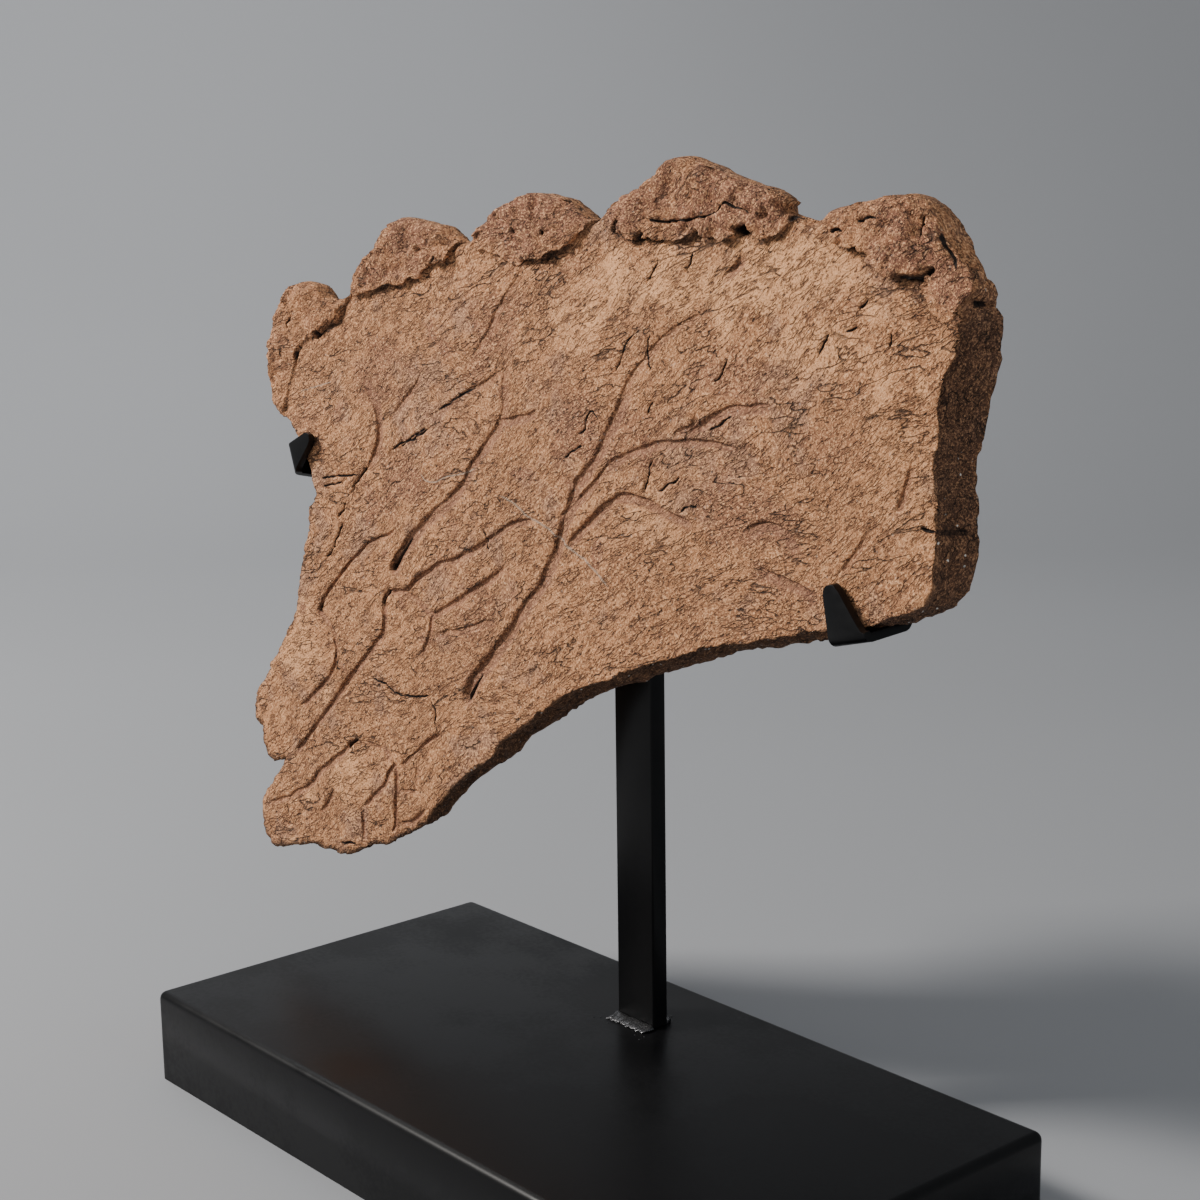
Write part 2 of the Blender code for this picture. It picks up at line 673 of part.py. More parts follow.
def build_cross_bar(material):
    """The flat bar behind the bone, leaning with it, that ties the two hooks to the upright."""
    back = LEG_BACK_W - CONTACT_GAP - CROSS_THICKNESS
    bar = bmesh.new()
    bmesh.ops.create_cube(bar, size=1.0)
    for vert in bar.verts:
        u = (CROSS_LEFT + CROSS_RIGHT) / 2 + vert.co.x * (CROSS_RIGHT - CROSS_LEFT)
        v = (CROSS_LOW + CROSS_HIGH) / 2 + vert.co.z * (CROSS_HIGH - CROSS_LOW)
        w = back + CROSS_THICKNESS / 2 - vert.co.y * CROSS_THICKNESS
        vert.co = plate_to_world(u, v, w)
    long_edges = [e for e in bar.edges if abs(e.verts[0].co.x - e.verts[1].co.x) > 100.0 * MM]
    bevel_edges(bar, long_edges, 0.6, 1)
    return finish_mesh("cross_bar", bar, material)


def finger_sides(n, hook):
    """The two sides of the finger at height n: it narrows to a rounded tip over its far side."""
    narrowing = min(1.0, max(0.0, (n - 3.0) / (hook.finger - 5.0))) ** 0.9
    left = 0.0
    right = hook.width + (hook.tip - hook.width) * narrowing
    tip_start = hook.finger - hook.tip * 0.55
    if n > tip_start:
        round_off = 1.0 - math.sqrt(max(0.0, 1.0 - ((n - tip_start) / (hook.tip * 0.57)) ** 2))
        left += round_off * hook.tip * 0.45
        right -= round_off * hook.tip * 0.45
    return left, right


def hook_path(hook):
    """The strip's middle line in (w, n): down the finger, back along the ledge and up the leg."""
    half = STRIP_THICKNESS / 2
    finger_w = FINGER_FACE_W - half
    leg_w = LEG_BACK_W + half
    turn = STRIP_BEND_RADIUS
    shares = (1.0, 0.99, 0.96, 0.91, 0.83, 0.72, 0.5, 0.3)
    path = [(finger_w, hook.finger * share, 90.0) for share in shares]
    for i in range(5):
        angle = math.radians(90.0 * i / 4)
        path.append((finger_w - turn + turn * math.cos(angle), half + turn - turn * math.sin(angle),
                     90.0 - 90.0 * i / 4))
    for i in range(5):
        angle = math.radians(90.0 * i / 4)
        path.append((leg_w + turn - turn * math.sin(angle), half + turn - turn * math.cos(angle),
                     -90.0 * i / 4))
    path.append((leg_w, hook.leg, -90.0))
    return path


def build_hook(name, hook, material):
    """A folded strip: finger in front of the bone, ledge under its edge, leg behind it."""
    corner, along, up = hook_frame(hook)
    half = STRIP_THICKNESS / 2
    strip = bmesh.new()
    rows = []
    for w, n, facing in hook_path(hook):
        out_w = math.sin(math.radians(facing))
        out_n = -math.cos(math.radians(facing))
        left, right = finger_sides(n, hook) if facing == 90.0 else (0.0, hook.width)
        row = []
        for a, side in ((left, 1), (right, 1), (right, -1), (left, -1)):
            flat = corner + along * a + up * (n + out_n * half * side)
            depth = w + out_w * half * side
            rise = (FINGER_FACE_W - depth) * hook.climb
            row.append(strip.verts.new(plate_to_world(flat.x, flat.y + rise, depth)))
        rows.append(row)
    for upper, lower in zip(rows, rows[1:]):
        for i in range(4):
            j = (i + 1) % 4
            strip.faces.new((upper[i], upper[j], lower[j], lower[i]))
    strip.faces.new(rows[0][::-1])
    strip.faces.new(rows[-1])
    return finish_mesh(name, strip, material)


def build_weld(name, start, end, out_a, out_b, size, ripples, material):
    """A fillet bead in the corner between two faces, with the ripples of its runs."""
    bead = bmesh.new()
    start = Vector(start)
    end = Vector(end)
    out_a = Vector(out_a).normalized()
    out_b = Vector(out_b).normalized()
    rows = []
    steps = ripples * 2
    for i in range(steps + 1):
        t = i / steps
        fall = 0.55 if i in (0, steps) else (1.0 if i % 2 else 0.82)
        centre = start.lerp(end, t)
        reach = size * fall
        row = [centre]
        for k in range(4):
            angle = math.radians(90.0 * k / 3)
            row.append(centre + out_a * reach * math.cos(angle) + out_b * reach * math.sin(angle))
        rows.append([bead.verts.new(p * MM) for p in row])
    for upper, lower in zip(rows, rows[1:]):
        for i in range(5):
            j = (i + 1) % 5
            bead.faces.new((upper[i], upper[j], lower[j], lower[i]))
    bead.faces.new(rows[0][::-1])
    bead.faces.new(rows[-1])
    return finish_mesh(name, bead, material)


def build_welds(material):
    """The beads at the bar's foot, where the cross bar meets the upright, and under the hook legs."""
    left = BAR_CENTRE_X - BAR_WIDTH / 2
    right = BAR_CENTRE_X + BAR_WIDTH / 2
    floor = BASE_HEIGHT + CONTACT_GAP
    front = BAR_FRONT_Y - CONTACT_GAP
    rear = BAR_FRONT_Y + BAR_THICKNESS + CONTACT_GAP
    back = (0, 1, 0)
    shown = (0, -1, 0)
    up = (0, 0, 1)
    build_weld("foot_weld_front", (left - 6.0, front, floor), (right - 0.5, front, floor),
               shown, up, 4.2, 8, material)
    build_weld("foot_weld_rear", (left + 1.0, rear, floor), (right - 1.0, rear, floor),
               back, up, 4.2, 7, material)

    cross_top = plate_point(0.0, CROSS_HIGH + CONTACT_GAP, LEG_BACK_W - CONTACT_GAP).z
    build_weld("cross_weld", (left + 2.0, front, cross_top), (right - 2.0, front, cross_top),
               shown, up, 4.0, 6, material)
    for name, low_u, high_u in (("left_leg_weld", -236.0, -218.0), ("right_leg_weld", 163.0, 180.0)):
        under = CROSS_LOW - CONTACT_GAP
        behind = LEG_BACK_W - CONTACT_GAP
        build_weld(name, plate_point(low_u, under, behind), plate_point(high_u, under, behind),
                   -AXIS_W, -AXIS_V, 3.5, 5, material)


def clear_scene():
    for thing in list(bpy.data.objects):
        bpy.data.objects.remove(thing)


def main():
    clear_scene()
    satin_black = make_material("satin_black_paint", (0.012, 0.012, 0.013), 0.42, 0.0)
    weld_metal = make_material("weld_metal", (0.10, 0.10, 0.105), 0.35, 0.8)
    fossil = make_material("fossil_bone", (0.45, 0.24, 0.13), 0.85, 0.0)
    build_base(satin_black)
    build_upright(satin_black)
    build_cross_bar(satin_black)
    build_hook("left_hook", LEFT_HOOK, satin_black)
    build_hook("right_hook", RIGHT_HOOK, satin_black)
    build_welds(weld_metal)
    build_bone(fossil)


main()
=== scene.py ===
import math
from collections import namedtuple

import bmesh
import bpy
import numpy as np
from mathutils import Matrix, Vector, kdtree, noise
from mathutils.geometry import delaunay_2d_cdt


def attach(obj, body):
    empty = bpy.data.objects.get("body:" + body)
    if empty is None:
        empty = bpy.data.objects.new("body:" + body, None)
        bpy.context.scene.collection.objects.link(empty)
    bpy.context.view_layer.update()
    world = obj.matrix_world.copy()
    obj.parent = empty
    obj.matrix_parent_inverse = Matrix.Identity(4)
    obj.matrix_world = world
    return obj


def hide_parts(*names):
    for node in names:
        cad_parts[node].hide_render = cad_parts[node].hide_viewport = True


bl_info = {
    "name": "Fossil frill bone on a stand",
    "version": (1, 0, 0),
    "blender": (4, 5, 0),
    "location": "3D View > Sidebar > Fossil",
    "description": "Builds a broken dinosaur frill bone and its welded black steel display stand",
    "category": "Add Mesh",
}

# The bone is laid out in its own plate frame: u along X, v up the leaning plate, w out of the shown
# face. Sizes are in millimetres until they reach a mesh.
MM = 0.001
BODY = "root"

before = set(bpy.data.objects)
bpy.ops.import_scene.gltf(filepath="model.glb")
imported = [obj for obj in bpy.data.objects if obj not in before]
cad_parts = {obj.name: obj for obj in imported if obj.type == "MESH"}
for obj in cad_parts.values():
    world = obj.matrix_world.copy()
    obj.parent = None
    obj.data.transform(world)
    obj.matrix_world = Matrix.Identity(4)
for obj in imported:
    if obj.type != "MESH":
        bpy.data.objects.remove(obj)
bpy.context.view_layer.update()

# ---- stand -------------------------------------------------------------------------------------
BASE_LENGTH = 440.0
BASE_DEPTH = 220.0
BASE_HEIGHT = 51.0
BASE_CENTRE_X = 35.5
BASE_SHEET = 4.0
BAR_WIDTH = 28.0
BAR_THICKNESS = 10.0
BAR_CENTRE_X = 28.5
BAR_FRONT_Y = 55.0
BAR_TOP = 388.0
BAR_LEFT = BAR_CENTRE_X - BAR_WIDTH / 2
BAR_RIGHT = BAR_CENTRE_X + BAR_WIDTH / 2
CROSS_LEFT = -240.0
CROSS_RIGHT = 182.0
CROSS_LOW = -20.0
CROSS_HIGH = 0.0
CROSS_THICKNESS = 7.0
# Gaps between the stand's own pieces, between the bone and a hook, and between the bone and a leg.
CONTACT_GAP = 0.3
REST_GAP = 0.4
LEG_GAP = 0.8

# Each hook is a folded strip: lower left corner of its finger and direction of its fold in degrees,
# both in the plate plane, strip width, lengths of finger and leg, width of the fingertip, and how
# much the ledge climbs for each millimetre towards the back.
STRIP_THICKNESS = 4.0
STRIP_BEND_RADIUS = 3.4
FINGER_FACE_W = 6.0
LEG_BACK_W = -25.5
Hook = namedtuple("Hook", "corner direction width finger leg tip climb")
LEFT_HOOK = Hook((-261.2, -12.6), -64.0, 17.4, 24.5, 40.0, 7.5, -0.15)
RIGHT_HOOK = Hook((171.8, -59.8), 15.0, 21.0, 27.5, 62.0, 8.6, 0.15)
# The rows down a finger, as shares of its length, and the steps round each bend.
FINGER_ROWS = (1.0, 0.995, 0.985, 0.97, 0.95, 0.92, 0.88, 0.83, 0.77, 0.7, 0.6, 0.5, 0.4, 0.3)
BEND_STEPS = 10
# How far round a hook the bone still gives way to it, and how fast it eases back from there.
HOOK_REACH = 14.0
HOOK_EASE = 0.3

# A weld bead: the node it stands for, the ends of its corner line, the directions of the two faces,
# its size, how many ripples it has, and how far it climbs along the second face for its reach along
# the first.
Bead = namedtuple("Bead", "node start end out_a out_b size ripples rise", defaults=(1.0,))
RIPPLE_STEPS = 8
BEAD_ARC = 12
# The weld spatter round the bar's foot: how many drops there are, and the seed of their places.
SPATTER_DROPS = 9
SPATTER_SEED = 1795472099

# ---- plate frame -------------------------------------------------------------------------------
PLATE_ORIGIN = np.array((35.5, 22.0, 350.0))
PLATE_LEAN = math.radians(5.0)
AXIS_U = np.array((1.0, 0.0, 0.0))
AXIS_V = np.array((0.0, math.sin(PLATE_LEAN), math.cos(PLATE_LEAN)))
AXIS_W = np.array((0.0, -math.cos(PLATE_LEAN), math.sin(PLATE_LEAN)))

# ---- bone outline, clockwise as seen from the shown face -----------------------------------------
NATURAL_MARGIN = (
    (-281, 3), (-287, 8), (-294, 24), (-297, 38), (-295, 49), (-288, 62), (-278, 75), (-270, 80),
    (-260, 81), (-249, 79), (-241, 73), (-229, 73), (-217, 76), (-212, 85), (-203, 94),
    (-191, 105), (-184, 113), (-173, 118), (-162, 119), (-148, 117), (-133, 115), (-125, 111),
    (-116, 108), (-99, 119), (-81, 128), (-69, 132), (-56, 133), (-43, 132), (-31, 129),
    (-22, 124), (-13, 121), (-3, 128), (8, 133), (21, 137), (32, 144), (40, 149), (49, 151),
    (57, 150), (66, 147), (80, 143), (95, 139), (109, 136), (117, 132), (114, 128), (123, 125),
    (133, 123), (141, 128), (152, 130), (166, 132), (179, 134), (190, 135), (198, 132),
    (205, 126), (211, 117), (217, 108), (221, 101),
)
BROKEN_END = (
    (225, 97), (223, 91), (226, 85), (226, 75), (223, 60), (222, 50), (223, 38), (221, 28),
    (222, 12), (224, -3), (224, -16), (222, -28), (215, -36), (203, -41),
)
BROKEN_FOOT = (
    (189, -48), (164, -54), (145, -59), (121, -66), (98, -72), (77, -79), (62, -85), (44, -92),
    (23, -101), (2, -109), (-22, -122), (-42, -136), (-57, -146), (-71, -159), (-90, -173),
    (-105, -185), (-125, -206), (-141, -214), (-160, -224), (-176, -228), (-185, -234),
    (-198, -238), (-224, -239), (-245, -244), (-266, -250), (-274, -246), (-281, -236),
    (-279, -224),
)
BROKEN_SIDE = (
    (-268, -213), (-260, -196), (-277, -199), (-283, -185), (-292, -172), (-288, -162),
    (-277, -145), (-265, -128), (-256, -115), (-252, -102), (-248, -84), (-246, -73),
    (-241, -60), (-242, -47), (-236, -39), (-241, -32), (-247, -20), (-259, -7), (-270, 2),
)

# Bony knobs along the margin: extra height of the crown, how red-brown it is, the seam as points with
# the ledge height at each, and for the two end knobs the corners that close them past the margin.
Knob = namedtuple("Knob", "crown red seam beyond", defaults=(None,))
# How high above the plate's middle the other knobs close.
ABOVE_KNOBS = 220.0
KNOBS = (
    Knob(3.0, 0.55, ((-208, 82, 0), (-215, 75, 2.5), (-219, 72, 2.6), (-222, 66, 3.0), (-225, 62, 3.2),
        (-232, 59, 3.6), (-240, 56, 3.6), (-245, 52, 2.8), (-253, 50, 1.4), (-261, 45, 1.8),
        (-265, 39, 1.6), (-267, 33, 1.4), (-271, 25, 0.8), (-273, 15, 1.0), (-273, 9, 1.8),
        (-276, 1, 0)), beyond=((-360, 1), (-360, 160), (-208, 160))),
    Knob(2.8, 0.95, ((-222, 73, 0), (-209, 78, 2.2), (-204, 76, 2.8), (-197, 77, 3.2), (-187, 80, 3.4),
        (-179, 83, 3.4), (-173, 84, 3.0), (-167, 83, 3.4), (-160, 84, 3.6), (-154, 89, 3.0),
        (-149, 87, 1.8), (-141, 93, 2.4), (-136, 96, 3.6), (-128, 96, 3.6), (-122, 100, 3.2),
        (-123, 105, 2.6), (-118, 109, 2.6), (-110, 110, 3.2), (-105, 111, 3.2), (-95, 115, 0))),
    Knob(3.0, 1.0, ((-113, 102, 0), (-104, 107, 1.0), (-100, 103, 1.4), (-95, 104, 1.4), (-87, 102, 1.5),
        (-79, 101, 1.7), (-72, 98, 2.0), (-67, 96, 1.8), (-63, 100, 2.6), (-58, 101, 3.6),
        (-48, 102, 4.0), (-40, 105, 4.0), (-30, 108, 3.8), (-24, 112, 3.4), (-18, 116, 3.4),
        (-13, 120, 3.8), (-10, 123, 3.8), (-2, 129, 0))),
    Knob(2.6, 0.95, ((-3, 120, 0), (5, 115, 2.4), (9, 116, 3.0), (15, 114, 3.2), (22, 113, 3.4),
        (29, 114, 3.2), (36, 113, 3.0), (45, 113, 3.0), (54, 114, 3.2), (60, 116, 3.6), (65, 116, 3.8),
        (70, 115, 3.8), (77, 114, 4.2), (84, 114, 4.4), (88, 116, 4.6), (89, 119, 4.8), (92, 121, 4.6),
        (96, 120, 4.0), (99, 118, 2.6), (103, 115, 2.2), (108, 116, 2.4), (113, 117, 2.6), (117, 119, 3.0),
        (121, 122, 3.6), (125, 126, 3.8), (130, 128, 3.6), (134, 130, 2.8), (139, 134, 0))),
    Knob(2.4, 1.0, ((139, 126, 0), (146, 121, 2.6), (150, 116, 4.2), (154, 114, 4.4), (159, 113, 4.6),
        (164, 114, 4.6), (168, 112, 4.6), (171, 111, 4.6), (172, 108, 4.6), (176, 106, 4.8),
        (182, 103, 5.2), (187, 101, 5.6), (193, 102, 5.6), (197, 102, 5.4), (200, 102, 4.6),
        (202, 104, 4.2), (201, 100, 3.8), (200, 97, 3.6), (202, 94, 3.6), (206, 90, 3.4), (211, 87, 3.2),
        (216, 84, 3.0), (222, 80, 2.6), (228, 76, 2.0), (236, 70, 0)),
        beyond=((300, 72), (300, 220), (139, 220))),
)
# Shallow scoops in the knobs: (u, v, radius along, radius across, direction in degrees, depth).
SCOOPS = (
    (48, 131, 30, 9, 8, 3.2),
    (46, 140, 10, 6, 30, 2.0),
    (202, 120, 10, 16, 10, 2.6),
    (-165, 104, 18, 8, 25, 2.4),
    (-54, 121, 22, 8, 10, 2.2),
    (-258, 66, 10, 12, 30, 1.8),
)
# Deep little pits where a knob's ledge has broken away: (u, v, radius along, radius across, direction,
# depth).
PITS = (
    (92, 119, 6.0, 3.4, 20, 4.6),
    (64, 117, 3.4, 2.0, 0, 3.4),
    (24, 114, 3.6, 2.2, 30, 3.6),
    (6, 118, 2.6, 4.0, 0, 4.0),
    (121, 125, 3.6, 2.4, 40, 4.0),
    (-47, 114, 1.8, 1.8, 0, 3.0),
    (195, 102, 8.0, 1.8, 3, 4.2),
    (203, 104, 3.4, 1.8, 40, 3.6),
    (-134, 98, 4.0, 1.6, 25, 2.6),
    (-244, 52, 3.4, 2.0, 40, 3.4),
    (-265, 39, 1.6, 4.0, -15, 2.6),
    (-279, 40, 1.5, 5.0, 0, 2.4),
)

# Blood-vessel grooves: (width and depth at the start, width and depth towards the end, route).
GROOVES = (
    (9.0, 2.4, 6.5, 1.0, ((-158, -70), (-154, -63), (-147, -56), (-133, -43), (-114, -30), (-99, -17),
        (-93, -8), (-82, 4), (-74, 13), (-69, 21), (-68, 32), (-69, 39), (-68, 52))),
    (6.0, 1.8, 5.0, 1.4, ((-71, 17), (-58, 19), (-39, 25))),
    (3.6, 2.6, 4.0, 1.7, ((-167, -90), (-164, -85), (-158, -83), (-146, -81), (-136, -72), (-121, -64),
        (-104, -58), (-75, -44), (-58, -34), (-39, -30))),
    (4.5, 1.5, 4.0, 1.8, ((-146, -83), (-133, -86), (-123, -91), (-115, -88), (-101, -81), (-87, -72),
        (-73, -64), (-60, -56))),
    (2.8, 2.4, 2.4, 1.5, ((-231, -103), (-228, -98), (-219, -89), (-206, -77), (-197, -69), (-186, -61),
        (-172, -55), (-158, -49))),
    (10.0, 2.8, 7.0, 1.5, ((-88, -129), (-84, -121), (-77, -114), (-66, -103), (-54, -89), (-43, -75),
        (-33, -63), (-25, -48), (-17, -30), (-9, -8), (-5, -5), (5, 6), (9, 11), (13, 20), (18, 27),
        (23, 35), (29, 44))),
    (5.5, 1.6, 4.2, 1.5, ((-19, -26), (-4, -13), (1, -9), (12, 1), (22, 7), (30, 11), (46, 16), (60, 19),
        (77, 21), (95, 20), (104, 19))),
    (5.0, 0.0, 6.0, 2.2, ((-14, -42), (-10, -36), (7, -21), (16, -15), (25, -11), (39, -11), (52, -14),
        (68, -17), (76, -20))),
    (4.0, 0.0, 4.0, 1.2, ((75, 36), (73, 31), (71, 27), (65, 25), (59, 20))),
    (5.0, 0.0, 6.0, 1.8, ((64, 22), (77, 28), (90, 35), (103, 38), (124, 40))),
    (6.0, 0.0, 7.0, 1.6, ((107, -21), (117, -15), (127, -13), (136, -16), (145, -26))),
    (6.0, 0.0, 6.0, 1.6, ((116, -32), (128, -35), (140, -37), (160, -43))),
    (5.0, 2.0, 4.0, 2.2, ((-166, -94), (-165, -104), (-170, -112), (-183, -125), (-197, -138),
        (-208, -151), (-218, -161), (-230, -173), (-242, -185), (-251, -193))),
    (4.0, 1.4, 3.5, 1.8, ((-231, -105), (-218, -112), (-212, -119), (-211, -130), (-214, -137),
        (-220, -144), (-229, -151), (-246, -166))),
    (4.0, 1.6, 3.8, 2.0, ((-150, -180), (-148, -183), (-147, -192), (-148, -201), (-148, -210),
        (-149, -215), (-153, -221))),
    (7.0, 0.0, 7.0, 1.8, ((-200, 33), (-189, 24), (-181, 15), (-178, 4), (-180, -7), (-186, -21))),
    # small side branches
    (4.0, 1.4, 4.0, 1.2, ((-123, -91), (-122, -102), (-128, -112), (-135, -117))),
    (5.0, 0.0, 5.0, 1.4, ((209, 25), (206, 16), (203, 6), (199, 0))),
    (4.0, 0.0, 4.0, 1.2, ((184, -8), (175, -21), (169, -30))),
    (3.2, 1.2, 3.2, 1.1, ((-211, -129), (-207, -132), (-201, -135), (-197, -138))),
    (3.8, 1.9, 3.2, 1.3, ((-151, -179), (-155, -185), (-160, -193), (-168, -200), (-177, -208),
        (-182, -211))),
    (2.6, 1.6, 3.0, 1.3, ((-113, -155), (-123, -161), (-133, -169), (-140, -175), (-148, -180))),
    (5.0, 0.0, 5.0, 1.3, ((-163, -166), (-160, -172), (-156, -176), (-151, -180))),
    (3.8, 0.0, 3.8, 1.9, ((-180, -209), (-180, -218), (-178, -223), (-178, -232))),
    (4.5, 1.6, 3.6, 1.2, ((-197, -179), (-208, -188), (-222, -197), (-230, -206), (-237, -211),
        (-246, -215), (-258, -222), (-277, -228))),
    (3.4, 0.0, 3.4, 1.5, ((-207, -205), (-215, -215), (-223, -224))),
    (4.0, 0.0, 4.0, 1.1, ((-129, -170), (-129, -179), (-129, -187))),
    (3.4, 0.0, 3.4, 1.4, ((-147, -212), (-143, -211), (-132, -207), (-125, -202), (-119, -197))),
    (2.8, 0.0, 2.8, 1.1, ((-146, -193), (-135, -190), (-129, -189), (-124, -192))),
    (2.8, 0.0, 2.8, 1.0, ((-136, -211), (-138, -214), (-141, -218))),
    (2.6, 0.0, 2.6, 0.9, ((-189, -173), (-175, -172), (-165, -172), (-158, -173))),
    (5.0, 0.0, 6.0, 1.5, ((94, 111), (91, 102), (81, 94))),
    (4.0, 0.0, 4.0, 1.3, ((-25, -5), (-15, -8), (-10, -14), (-14, -22), (-20, -30))),
    (4.5, 0.0, 4.5, 1.2, ((-122, -102), (-101, -97), (-76, -88), (-66, -90))),
    (5.0, 0.0, 5.0, 1.0, ((-171, 7), (-161, 16), (-140, 37))),
    (4.5, 0.0, 4.0, 0.9, ((-136, 12), (-108, 26), (-81, 38), (-62, 48))),
    (5.0, 0.0, 4.0, 1.0, ((1, 5), (18, 23), (21, 37), (37, 57), (56, 72), (75, 80))),
    (5.0, 0.0, 4.0, 0.9, ((-63, 96), (-78, 73), (-85, 60), (-99, 46))),
    (3.2, 0.0, 3.0, 1.1, ((-143, -81), (-131, -87), (-123, -93), (-123, -102), (-129, -113))),
)
# How long a groove takes to run out.
GROOVE_RUN_OUT = 10.0
# Where a groove's lip lies, in half widths from its middle line.
GROOVE_LIP = 1.05
# The side of a groove whose lip is steep.
STEEP_SIDE = np.array((-0.64, 0.77))
# Slots where the vessels enter: (u and v of the lower end, length, width, depth, direction in degrees,
# running upwards).
VESSEL_HOLES = (
    (-160.3, -69.8, 22.0, 4.2, 7.0, 51),
    (-167, -90.5, 9.0, 3.8, 5.5, 60),
    (-231, -103.5, 9.0, 4.0, 6.0, 55),
    (-88, -129, 15.0, 4.2, 7.0, 55),
    (-196, -177, 10.0, 4.0, 5.5, 32),
)
# How much of its width a slot loses on its way up.
SLOT_TAPER = 0.65

# Open cracks: (width, depth, route).
CRACKS = (
    (1.6, 1.8, ((212, -1), (218, -3), (224, -3), (229, -2))),
    (1.1, 1.6, ((12, 118), (19, 120), (27, 122), (33, 122), (41, 121), (49, 122), (56, 122), (63, 123),
        (72, 124), (78, 127), (83, 130), (89, 128), (95, 127), (99, 125), (105, 126), (109, 125))),
    (2.0, 3.0, ((126, 131), (131, 132), (135, 130))),
    (1.8, 3.0, ((124, 128), (129, 129), (134, 127))),
    (1.8, 2.4, ((201, 127), (200, 123), (200, 117))),
    (0.9, 1.2, ((209, 123), (210, 117), (213, 110), (215, 103))),
    (0.9, 1.2, ((216, 119), (219, 113), (222, 108), (227, 101))),
    (1.0, 1.2, ((163, 122), (168, 124), (174, 125), (180, 126))),
    (1.3, 1.8, ((148, 119), (152, 120), (156, 119))),
    (1.2, 1.6, ((-69, 120), (-70, 116), (-71, 112))),
    (1.5, 1.8, ((-268, 65), (-270, 58), (-272, 53))),
    (1.0, 1.4, ((-190, -133), (-176, -134), (-166, -135), (-161, -135), (-156, -138), (-151, -139),
        (-139, -138), (-127, -136), (-121, -134), (-110, -131))),
    (0.9, 1.1, ((-121, -135), (-119, -139), (-116, -143), (-116, -148), (-114, -152), (-113, -155))),
    (1.4, 1.6, ((-202, -235), (-192, -233), (-183, -232))),
    (2.4, 3.0, ((-186, -16), (-191, -20), (-197, -26), (-202, -31), (-206, -37))),
    (1.8, 2.4, ((-208, -38), (-209, -43), (-212, -46), (-216, -49))),
    (1.2, 1.4, ((-237, -30), (-225, -27), (-214, -25), (-203, -24), (-192, -21))),
    (0.9, 1.2, ((-235, -33), (-222, -31), (-208, -27))),
    (1.1, 1.5, ((-210, -46), (-209, -49), (-212, -55), (-216, -62), (-220, -69), (-226, -73),
        (-234, -75))),
    (1.0, 1.2, ((-161, -4), (-149, 1), (-136, 7), (-128, 12))),
    (1.0, 1.2, ((-86, 36), (-101, 31), (-115, 24), (-132, 17))),
    (1.1, 1.4, ((-132, 11), (-142, 6), (-151, 1), (-162, -4), (-173, -9))),
    (0.9, 1.1, ((-82, -37), (-79, -44), (-76, -52))),
    (1.0, 1.2, ((37, 106), (36, 100), (32, 92))),
    (0.9, 1.1, ((60, 108), (59, 103), (57, 98))),
    (1.1, 1.3, ((173, 92), (171, 89), (167, 86))),
    (0.9, 1.1, ((169, 80), (166, 78), (160, 76))),
    (0.9, 1.1, ((154, 77), (151, 72), (147, 64))),
    (1.0, 1.2, ((188, 78), (189, 74), (188, 71))),
    (1.0, 1.2, ((7, 23), (0, 29), (-4, 25), (-5, 20), (-7, 18), (-13, 16), (-16, 14))),
    (1.1, 1.3, ((46, 12), (45, 9), (43, 6), (43, 2), (41, -4), (39, -9))),
    (1.0, 1.2, ((65, -14), (70, -10), (78, -9))),
    (0.9, 1.1, ((44, 38), (41, 34), (41, 29))),
    (1.0, 1.2, ((65, 5), (61, 1), (54, -2), (48, -6))),
    (1.0, 1.2, ((-22, 3), (-12, 9), (-3, 13))),
    (0.9, 1.1, ((41, 50), (37, 62), (40, 71))),
    (0.9, 1.1, ((92, 62), (88, 54), (82, 48))),
    (1.0, 1.2, ((98, 36), (88, 30), (80, 26))),
    (0.9, 1.1, ((30, 72), (21, 62), (17, 52), (10, 47))),
    (1.0, 1.2, ((-229, -103), (-213, -116), (-209, -134), (-199, -136))),
)
# Where the face is paler (positive) or browner (negative): (u, v, half length, half width, degrees,
# share).
TONE_PATCHES = (
    (115, 100, 66, 22, 8, 1.0),
    (20, 92, 44, 14, 5, 0.7),
    (150, 68, 44, 14, 0, 0.7),
    (-248, -130, 22, 20, 30, 0.8),
    (202, 19, 30, 42, 90, 0.3),
    (-193, -193, 24, 16, 0, 0.7),
    (-16, 68, 20, 12, 0, 0.5),
    (46, -19, 20, 16, 0, 0.5),
    (-156, -21, 28, 18, 20, -0.9),
    (-9, 22, 24, 18, 20, -0.8),
    (94, 51, 26, 18, 10, -0.7),
    (110, -11, 38, 18, -15, -0.8),
    (-183, 36, 30, 16, 40, -0.8),
    (-81, -87, 22, 16, 40, -0.5),
    (-78, 68, 32, 16, 40, -0.8),
    (-256, -1, 26, 12, 20, -0.6),
    (-30, 100, 22, 9, 20, -0.5),
    (35, 23, 24, 12, 30, -0.6),
    (153, 25, 26, 12, 0, -0.5),
    (-109, -59, 20, 14, 40, -0.4),
)
# Pale filled hairlines where the bone was mended: (width, route).
HAIRLINES = (
    (1.5, ((-74, -20), (-60, -22), (-45, -28), (-31, -32), (-18, -38), (-7, -42), (4, -47), (14, -52),
        (22, -57))),
    (1.1, ((-139, -14), (-134, -19), (-125, -19), (-115, -15), (-101, -12), (-90, -7))),
    (0.9, ((-259, 19), (-243, 23), (-227, 27))),
)

# ---- bone thickness and edges --------------------------------------------------------------------
# The bone is thickest in its middle and thinnest at its lower left tip.
THICKNESS_MIDDLE = 27.6
THICKNESS_EDGE = 23.0
THICKNESS_TIP = 17.0
# Rounding of the natural margin in front and behind, and how much of that drop is carried out.
RIM_RADIUS = 7.0
BACK_RIM_RADIUS = 5.0
RIM_DROP = 0.9
